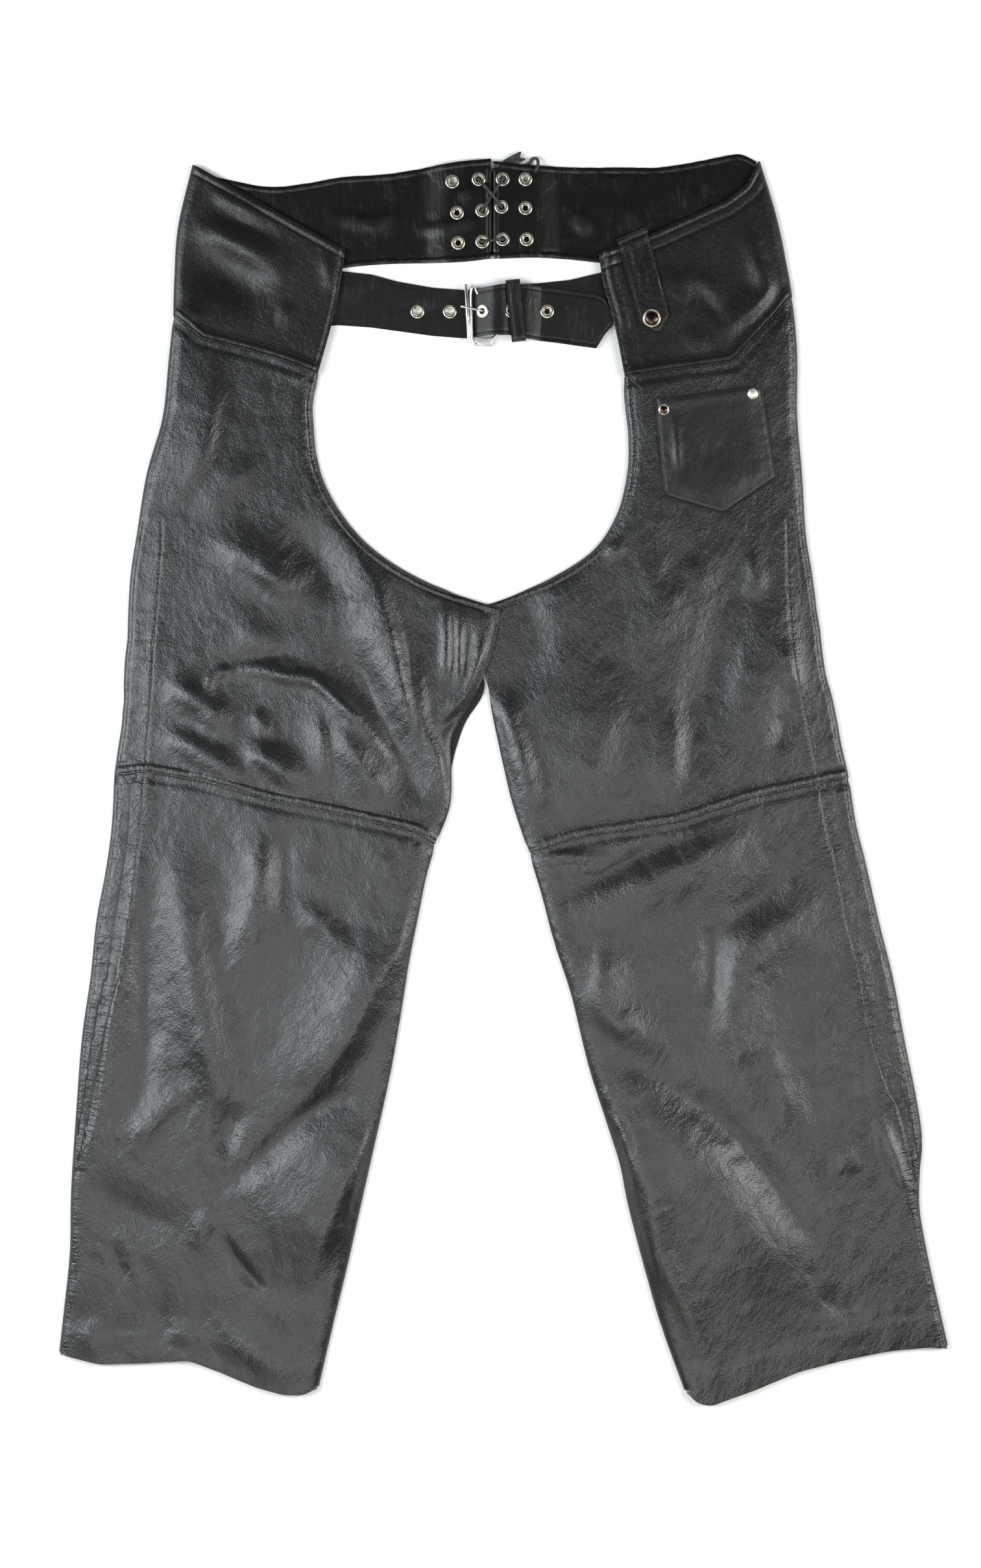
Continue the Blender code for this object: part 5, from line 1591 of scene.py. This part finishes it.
EYELET_PROFILE = [
    (5.7, 0.0), (5.75, 0.3), (5.5, 0.62), (5.0, 0.85), (4.4, 0.9), (3.8, 0.78), (3.5, 0.66), (3.2, 0.8), (2.8, 0.82),
    (2.4, 0.6), (2.25, 0.2), (2.25, -1.7), (2.65, -1.7), (2.75, -0.2), (3.2, -0.05), (5.2, -0.05), (5.7, 0.0),
]
eyelet_model = ring_profile("eyelet_model", EYELET_PROFILE, NICKEL)
band_skin = surface(PIECES["band_leather_left"], PIECES["band_leather_right"])
for side in SIDES:
    for number, (x, y) in enumerate(EYELETS[side], 1):
        rim_height = height_at(band_skin, np.array([x + 4.2, x - 4.2]), np.array([y, y], float)).mean()
        made = copy_to(eyelet_model, f"eyelet_ring_{side}_{number}", x, y, rim_height + 0.1)
        keep(made, "eyelet_metal", f"eyelet_{side}_{number}")
for number, ((x, y), height) in enumerate(zip(tongue_holes, tongue_heights), 1):
    tilt, lift = ((0, -0.5), 0.5) if x == PRONG_EYELET else ((0, 0), 0.1)
    made = copy_to(eyelet_model, f"belt_eyelet_ring_{number}", x, y, height + lift, tilt)
    keep(made, "eyelet_metal", *([f"belt_eyelet_{number}"] if number <= 3 else []))
bpy.data.objects.remove(eyelet_model)

# %% [markdown]
# ## The snap and the rivets
# Both are stamped from sheet: a domed cap inside a rolled rim. They are turned from a profile like the
# eyelets, and the faces inside a radius get the finish of the cap. A second material on the same mesh keeps
# the two parts from ever coming apart.

# %% Snap and rivets
SNAP_PROFILE = [
    (0.4, 3.35), (1.6, 3.3), (3.0, 3.1), (4.4, 2.7), (5.5, 2.15), (5.9, 1.75), (6.05, 1.95), (6.5, 2.05), (7.1, 1.8),
    (7.6, 1.2), (7.7, 0.6), (7.4, 0.0), (6.0, -0.05),
]
RIVET_PROFILE = [
    (0.3, 2.1), (1.2, 2.05), (2.2, 1.85), (3.0, 1.5), (3.35, 1.25), (3.5, 1.4), (3.9, 1.4), (4.4, 1.05), (4.65, 0.5),
    (4.5, 0.0), (3.6, -0.05),
]
SNAP_AT, SNAP_CAP = (123, 384), 6.0  # where it is, and its dark cap's radius
RIVETS_AT, RIVET_CAP = [(133, 308), (207, 321)], 3.4


def two_tone(made, rim_radius, x, y, cap):
    """Gives the faces inside a radius their own finish."""
    made.data.materials.append(cap)
    for face in made.data.polygons:
        if math.hypot(face.center.x / MM - x, face.center.y / MM - y) < rim_radius:
            face.material_index = 1


snap_model = ring_profile("snap_model", SNAP_PROFILE, NICKEL, 48)
tab_skin = surface(tab)
snap_height = float(height_at(tab_skin, SNAP_AT[0] + np.array([0, -4, 4]), np.full(3, SNAP_AT[1])).max())
made = copy_to(snap_model, "snap_button", *SNAP_AT, snap_height + 0.05)
two_tone(made, SNAP_CAP, *SNAP_AT, CAP)
keep(made, "snap_metal", "snap_cap")
bpy.data.objects.remove(snap_model)

rivet_model = ring_profile("rivet_model", RIVET_PROFILE, NICKEL, 40)
pocket_skin = surface(PIECES["coin_pocket_leather"], PIECES["thigh_leather_right"])
for number, (x, y) in enumerate(RIVETS_AT, 1):
    high = float(highest_near(pocket_skin, np.array([float(x)]), np.array([float(y)]), 3.6)[0])
    made = copy_to(rivet_model, f"rivet_button_{number}", x, y, high + 0.05)
    two_tone(made, RIVET_CAP, x, y, CAP if number == 1 else SATIN)
    keep(made, "snap_metal", f"pocket_rivet_{number}")
bpy.data.objects.remove(rivet_model)


# %% [markdown]
# ## The buckle
# A roller buckle: a wire frame bent round, a roller rolled from sheet so that its seam shows as a dark line,
# a prong looped on the end bar, and the flattened lower side of the frame, which stands out below the belt.
# The frame's outer bar lies beside the roller, and the rest of the frame is under the belt.


# %% Wires
def wire(name, points, radius, finish, cyclic=False, sides=3):
    """A round wire along points, in millimetres, swept with a curve's bevel and made a mesh."""
    curve = bpy.data.curves.new(name, "CURVE")
    curve.dimensions = "3D"
    curve.bevel_depth = radius * MM
    curve.bevel_resolution = sides
    curve.use_fill_caps = True
    spline = curve.splines.new("POLY")
    spline.points.add(len(points) - 1)
    for point, at in zip(spline.points, points):
        point.co = (*(c * MM for c in at), 1)
    spline.use_cyclic_u = cyclic
    guide = bpy.data.objects.new(name, curve)
    bpy.context.scene.collection.objects.link(guide)
    pick(guide)
    bpy.ops.object.convert(target="MESH")
    made = bpy.context.object
    clean(made, 0.01)
    bpy.ops.object.shade_smooth_by_angle(angle=math.radians(60))
    return put_on(made, finish)


def eased(points, count):
    """More points on a smooth curve through some."""
    return along(points, np.linspace(0, 1, count))


FRAME_PATH = [
    (-25.4, 411.2, 6.9), (-26.8, 409.4, 6.7), (-27.5, 404, 6.6), (-27.1, 390, 6.6), (-26.5, 372, 6.6),
    (-25.7, 364.9, 6.5), (-24.4, 362.4, 5.8), (-22.4, 363.4, 4.2), (-18, 366, 3.4), (-11, 367.6, 3.4),
    (-6.5, 371, 3.7), (-4, 376, 3.8), (-4, 390, 3.8), (-4, 397, 3.8), (-6, 401, 3.6), (-11, 402.6, 3.2),
    (-18, 403, 3.0), (-22, 405, 3.4), (-24.2, 409, 5.2),
]
FRAME_WIRE, PRONG_WIRE, PRONG_LOOP = 1.1, 1.05, 2.8
frame_points = eased(FRAME_PATH + FRAME_PATH[:1], 160)[:-1]
keep(wire("buckle_wire", frame_points, FRAME_WIRE, CHROME, cyclic=True, sides=4), "buckle_metal", "buckle_frame")

prong_points = [
    (BAR_END[0] + PRONG_LOOP * math.cos(a), 389.6, BAR_END[1] + PRONG_LOOP * math.sin(a))
    for a in np.linspace(0.2, TURN * 0.62, 12)
]
prong_points += [
    (-9.5, 389.7, 2.4), (-13, 389.8, 3.6), (-16, 390, 5.4), (-18.6, 390.3, 8.2), (-21.5, 390.8, 9.9),
    (-25, 391.6, 10.3), (-28, 392.2, 10.2), (-32, 393.1, 9.6), (-35.6, 393.9, 8.6),
]
keep(wire("buckle_pin", eased(prong_points, 90), PRONG_WIRE, STEEL), "buckle_metal", "buckle_prong")

# %% [markdown]
# ## The roller and the side plate
# The roller is a strip of sheet rolled into a tube, which leaves a thin slit where its edges meet. The slit is
# left on top, where it shows as a dark line: a circle is extruded, a strip of its faces is deleted, and
# Solidify and Bevel make it sheet metal. The flat side of the frame is a box with softened edges.

# %% Roller and side plate
ROLLER_R, ROLLER_WALL, ROLLER_LONG = 1.5, 0.5, 48.4
ROLLER_AT, ROLLER_TURN = (-30.2, 388.4, 6.8), 0.055


def soften(made, wide, segments):
    """Applies a piece's modifiers with a Bevel after them, wide millimetres, and shades it."""
    bevel = made.modifiers.new("Soften", "BEVEL")
    bevel.width = wide * MM
    bevel.segments = segments
    apply_all(made)
    bpy.ops.object.shade_smooth_by_angle(angle=math.radians(40))


deselect()
bpy.ops.mesh.primitive_circle_add(vertices=64, radius=ROLLER_R * MM, location=(0, 0, 0))
roller = bpy.context.object
roller.name = roller.data.name = "buckle_roller_tube"
bpy.ops.object.mode_set(mode="EDIT")
bpy.ops.mesh.select_all(action="SELECT")
bpy.ops.mesh.extrude_edges_move(TRANSFORM_OT_translate={"value": (0, 0, ROLLER_LONG * MM)})
bpy.ops.object.mode_set(mode="OBJECT")
roller.data.transform(Matrix.Translation(Vector((0, 0, -ROLLER_LONG / 2)) * MM))
roller.data.transform(Matrix.Rotation(ROLLER_TURN, 4, "Z") @ Matrix.Rotation(math.pi / 2, 4, "X"))
roller.data.transform(Matrix.Translation(Vector(ROLLER_AT) * MM))
seam_faces = [f.index for f in roller.data.polygons if f.center.z > (ROLLER_AT[2] + ROLLER_R * 0.985) * MM]
shell = bmesh.new()
shell.from_mesh(roller.data)
shell.faces.ensure_lookup_table()
bmesh.ops.delete(shell, geom=[shell.faces[i] for i in seam_faces], context="FACES")
bmesh.ops.recalc_face_normals(shell, faces=shell.faces)
shell.to_mesh(roller.data)
shell.free()
if sum((f.center.z / MM - ROLLER_AT[2]) * f.normal.z for f in roller.data.polygons) < 0:
    roller.data.flip_normals()
wall = roller.modifiers.new("Wall", "SOLIDIFY")
wall.thickness = ROLLER_WALL * MM
wall.offset = -1
soften(roller, 0.2, 2)
keep(put_on(roller, CHROME), "buckle_metal", "buckle_roller")

plate = block((-17.6, 365.0, 4.6), (16.2, 7.4, 1.4), (0.12, 0.03, -0.04))
plate.name = plate.data.name = "buckle_side_plate"
soften(plate, 0.6, 3)
keep(put_on(plate, STEEL), "buckle_metal")

# %% [markdown]
# ## The lace
# One thong draws the two halves of the band together: up through one eyelet and down through the next,
# crossing near the top, and both ends come out above the band. One end is cut to a fork, the other curls.

# %% Lace
LACE, EYELET_RIM = 2.8, 0.7  # the thong's width, and how far an eyelet's rim stands up under it
lace_low = LACE / 2 + 0.2
lace_high = BAND_RISE + HIDE + GAP + EYELET_RIM + GAP + LACE / 2
lace_over = lace_high + LACE + GAP
upper_left, middle_left, lower_left = EYELETS["left"][3:]
upper_right, middle_right, lower_right = EYELETS["right"][:3]


def through(hole, before, after, rising):
    """The points where the lace turns through an eyelet from one side of the leather to the other."""
    (x, y), turn = hole, 1.0
    heights = (lace_low, lace_low + turn, lace_high - turn, lace_high)
    points = []
    for height, place in zip(heights if rising else heights[::-1], (before, hole, hole, after)):
        away = math.hypot(place[0] - x, place[1] - y) or 1
        points.append((x + (place[0] - x) / away * turn, y + (place[1] - y) / away * turn, height))
    return points


lace_points = [(26, 506, 6.8), (28, 510, 6.8), (28.5, 514.5, 6), (27, 517.5, 4), (23.5, 517, 2.1), (20, 513, lace_low)]
lace_points += through(upper_right, (20, 513), middle_left, True)
lace_points += through(middle_left, upper_right, lower_left, False)
lace_points += through(lower_left, middle_left, lower_right, True)
lace_points += through(lower_right, lower_left, middle_right, False)
lace_points += through(middle_right, lower_right, upper_left, True)
cross_x, cross_y = (middle_right[0] + upper_left[0]) / 2, (middle_right[1] + upper_left[1]) / 2
lace_points += [(cross_x + 4, cross_y - 4.8, lace_over), (cross_x - 4, cross_y + 4.8, lace_over)]
lace_points += through(upper_left, middle_right, (0, 516), False)
lace_points += [(-8, 508.6, lace_low), (1, 515.4, lace_low), (7, 518.8, 2.2)]
lace_curve = eased(lace_points, 340)
lace_long = float(np.sqrt((np.diff(lace_curve, axis=0) ** 2).sum(1)).sum())
keep(wire("lace_thong", lace_curve, LACE / 2, THONG), "lace", "lace")
print("lace length, mm:", round(lace_long))


# %% [markdown]
# ## The forked end
# The end that comes out behind the band has been cut with scissors and has frayed into a flat fork. It is a
# small grid fanned out from the thong, with one long point, a notch and a short point, and a thin wall.

# %% Forked end
FORK_BASE = [(5.6, 512.4), (4.6, 513.4), (3.9, 514.2), (3.2, 514.9), (2.5, 515.5)]
FORK_TIPS = [(17.2, 516.6), (17.7, 517.3), (13.4, 518.2), (14.5, 522.7), (14.0, 522.3)]


def fork_place(column, row):
    along_fork = row / 24
    base, tip = (along(table, column / 12) for table in (FORK_BASE, FORK_TIPS))
    at = base + (tip - base) * along_fork[..., None]
    bow_out = 1.4 * np.sin(math.pi * along_fork) * (column / 6 - 1)
    return at[..., 0] - bow_out * 0.5, at[..., 1] + bow_out, 2.6 + 1.6 * np.sin(along_fork * 2.4) + 0.05 * column


made = grid("lace_fork", 12, 24, fork_place)
keep(thicken(made, 1.1, (FRAY, FRAY, FRAY), grow=0, even=False), "lace")


# %% [markdown]
# ## Stitches
# There are more than two thousand stitches. One is modelled, a small sphere drawn out to a grain of rice,
# and copied along every sewn line at its real pitch, a row of copies being one mesh. A ray down to the
# leather finds the height of each end, so a stitch follows the puckers it makes.


# %% One stitch and a row of them
deselect()
bpy.ops.mesh.primitive_uv_sphere_add(segments=6, ring_count=4, radius=0.5)
stitch_model = bpy.context.object
STITCH_POINTS = np.array([v.co[:] for v in stitch_model.data.vertices])[:, [2, 0, 1]]
STITCH_FACES = [tuple(p.vertices) for p in stitch_model.data.polygons]
bpy.data.objects.remove(stitch_model)
PITCH, STITCH_LONG, STITCH_WIDE, STITCH_HIGH = 3.3, 2.5, 0.75, 0.6
SINK = 0.3  # how far the thread pulls into the leather


def offset(line, away):
    """A line moved sideways, to its left if away is positive."""
    line = np.asarray(line, float)
    way = np.gradient(line, axis=0)
    way = way / np.maximum(np.hypot(*way.T), 1e-9)[:, None]
    return line + np.stack([-way[:, 1], way[:, 0]], 1) * away


def stitched(name, lines, tree, pitch=PITCH):
    """A mesh of stitches along lines, laid on the surface in a tree."""
    points, faces = [], []
    for line in lines:
        line = np.asarray(line, float)
        run = np.concatenate([[0], np.cumsum(np.hypot(*np.diff(line, axis=0).T))])
        for at in np.arange(pitch / 2, run[-1] - pitch / 2, pitch):
            ends = [np.array([np.interp(at + d, run, line[:, k]) for k in (0, 1)]) for d in (-1.1, 1.1)]
            heights = [height_at(tree, np.array([e[0]]), np.array([e[1]]), -99.0)[0] for e in ends]
            if min(heights) < -50 or abs(heights[1] - heights[0]) > 1.5:
                continue
            start, end = (Vector((*e, h - SINK)) for e, h in zip(ends, heights))
            way = (end - start).normalized()
            middle = (start + end) / 2
            side_way = Vector((-way.y, way.x, 0)).normalized()
            basis = np.array([way * STITCH_LONG, side_way * STITCH_WIDE, way.cross(side_way) * STITCH_HIGH])
            faces += [tuple(len(points) + i for i in face) for face in STITCH_FACES]
            points += list(STITCH_POINTS @ basis + np.array(middle))
    mesh = bpy.data.meshes.new(name)
    mesh.from_pydata([tuple(p * MM) for p in np.array(points)], [], faces)
    made = bpy.data.objects.new(name, mesh)
    bpy.context.scene.collection.objects.link(made)
    clean(made)
    bpy.ops.object.shade_smooth()
    put_on(made, THREAD)
    return keep(made, "leather")


# %% [markdown]
# ## The rows of thread
# The rows lie on the lines that were kept by name, each moved sideways by its distance in the table. offset
# moves a line to its left, and the legs are mirror images, so one side's distances change their sign.

# %% Every sewn line
for side in SIDES:
    lines, rows_at = LINES[side], STITCH_ROWS[side]
    flip = 1 if side == "left" else -1
    skin = surface(*(PIECES[f"{part}_leather_{side}"] for part in ("yoke", "thigh", "shin")))
    height = lines["outer"][:, 1]
    outer = lines["outer"][(height < 395) & (height > -300)]
    rows = [offset(lines["knee"], flip * away) for away in rows_at["knee"]]
    rows += [offset(lines["yoke"], flip * away) for away in rows_at["yoke"]]
    rows += [offset(lines["top"], -flip * away) for away in rows_at["top"]]
    rows += [offset(lines["front"], -flip * rows_at["front"][0]), offset(lines["arch"], -flip * rows_at["arch"][0])]
    rows += [lines["placket"][:-18], offset(outer, flip * rows_at["outer"][0])]
    stitched(f"stitching_{side}", rows, skin)

band_rows = []
for side in SIDES:
    band_line = along(BAND[side], np.linspace(0, 1, 120))
    down_sign = 1 if side == "left" else -1
    band_rows += [offset(band_line[:, :2], down_sign * BAND_ROW), offset(band_line[:, 2:], -down_sign * BAND_ROW)]
stitched("stitching_band", band_rows, band_skin, pitch=3.6)

# %% [markdown]
# ## Thread on the small pieces
# The belt, the pocket and the tab are sewn close to their edges, with shorter stitches than the legs: small
# pieces take a finer machine setting. Their lines come from the same outlines that shaped them.

# %% Small sewn pieces
sewn_x = np.arange(-137, 78, 3.0)
tongue_line, tongue_low = (
    np.stack([sewn_x, np.interp(sewn_x, tongue_rows[:, 0], tongue_rows[:, k])], 1) for k in (1, 2)
)
stitched("stitching_belt", [offset(tongue_line, -3.0), offset(tongue_low, 3.0)], surface(tongue), pitch=3.4)
stitched("stitching_pocket", [offset(edge_points, POCKET_ROW)], surface(PIECES["coin_pocket_leather"]), pitch=2.9)
tab_lines = []
for sign in (-1, 1):
    run = np.linspace(3, TAB["shoulder"] - 1, 40)
    from_middle = sign * (TAB["wide"] / 2 - TAB_ROW)
    slant = TAB["slant"] * from_middle * (1 - smooth(run / tab_long))
    tab_lines.append(tab_top + np.outer(run - slant, tab_axis) + tab_side * from_middle)
sewn_point = tab_top + tab_axis * (tab_long - 4.2)
for corner in (tab_lines[0][-1], tab_lines[1][-1]):
    tab_lines.append(corner + np.outer(np.linspace(0, 1, 10), sewn_point - corner))
stitched("stitching_tab", tab_lines, tab_skin, pitch=2.9)

# %% [markdown]
# ## The cloth's cut
# Every sheet of leather is listed with how large it was cut and what it lies on. The panels aren't rectangles,
# so each also gives the area of its pattern, which is printed beside half the surface of the sheet as built.

# %% Sheets
CUT = {
    "yoke_leather_left": (0.135, 0.135, 0.0155, ["band_leather_left"]),
    "yoke_leather_right": (0.145, 0.135, 0.0155, ["band_leather_right"]),
    "thigh_leather_left": (0.32, 0.41, 0.082, ["thigh_back_leather_left"]),
    "thigh_leather_right": (0.30, 0.42, 0.082, ["thigh_back_leather_right"]),
    "shin_leather_left": (0.275, 0.51, 0.114, ["shin_back_leather_left"]),
    "shin_leather_right": (0.275, 0.52, 0.114, ["shin_back_leather_right"]),
    "thigh_back_leather_left": (0.30, 0.46, 0.085, ["floor"]),
    "thigh_back_leather_right": (0.29, 0.47, 0.085, ["floor"]),
    "shin_back_leather_left": (0.27, 0.51, 0.112, ["floor"]),
    "shin_back_leather_right": (0.27, 0.52, 0.112, ["floor"]),
    "band_leather_left": (0.26, 0.12, 0.0215, ["floor"]),
    "band_leather_right": (0.235, 0.12, 0.0205, ["floor"]),
    "coin_pocket_leather": (0.095, 0.105, 0.0082, ["thigh_leather_right"]),
}
for name, (wide, long, area, rests) in CUT.items():
    half_surface = sum(p.area for p in PIECES[name].data.polygons) / 2
    print(name, "cut", area, "measured", round(half_surface, 4))
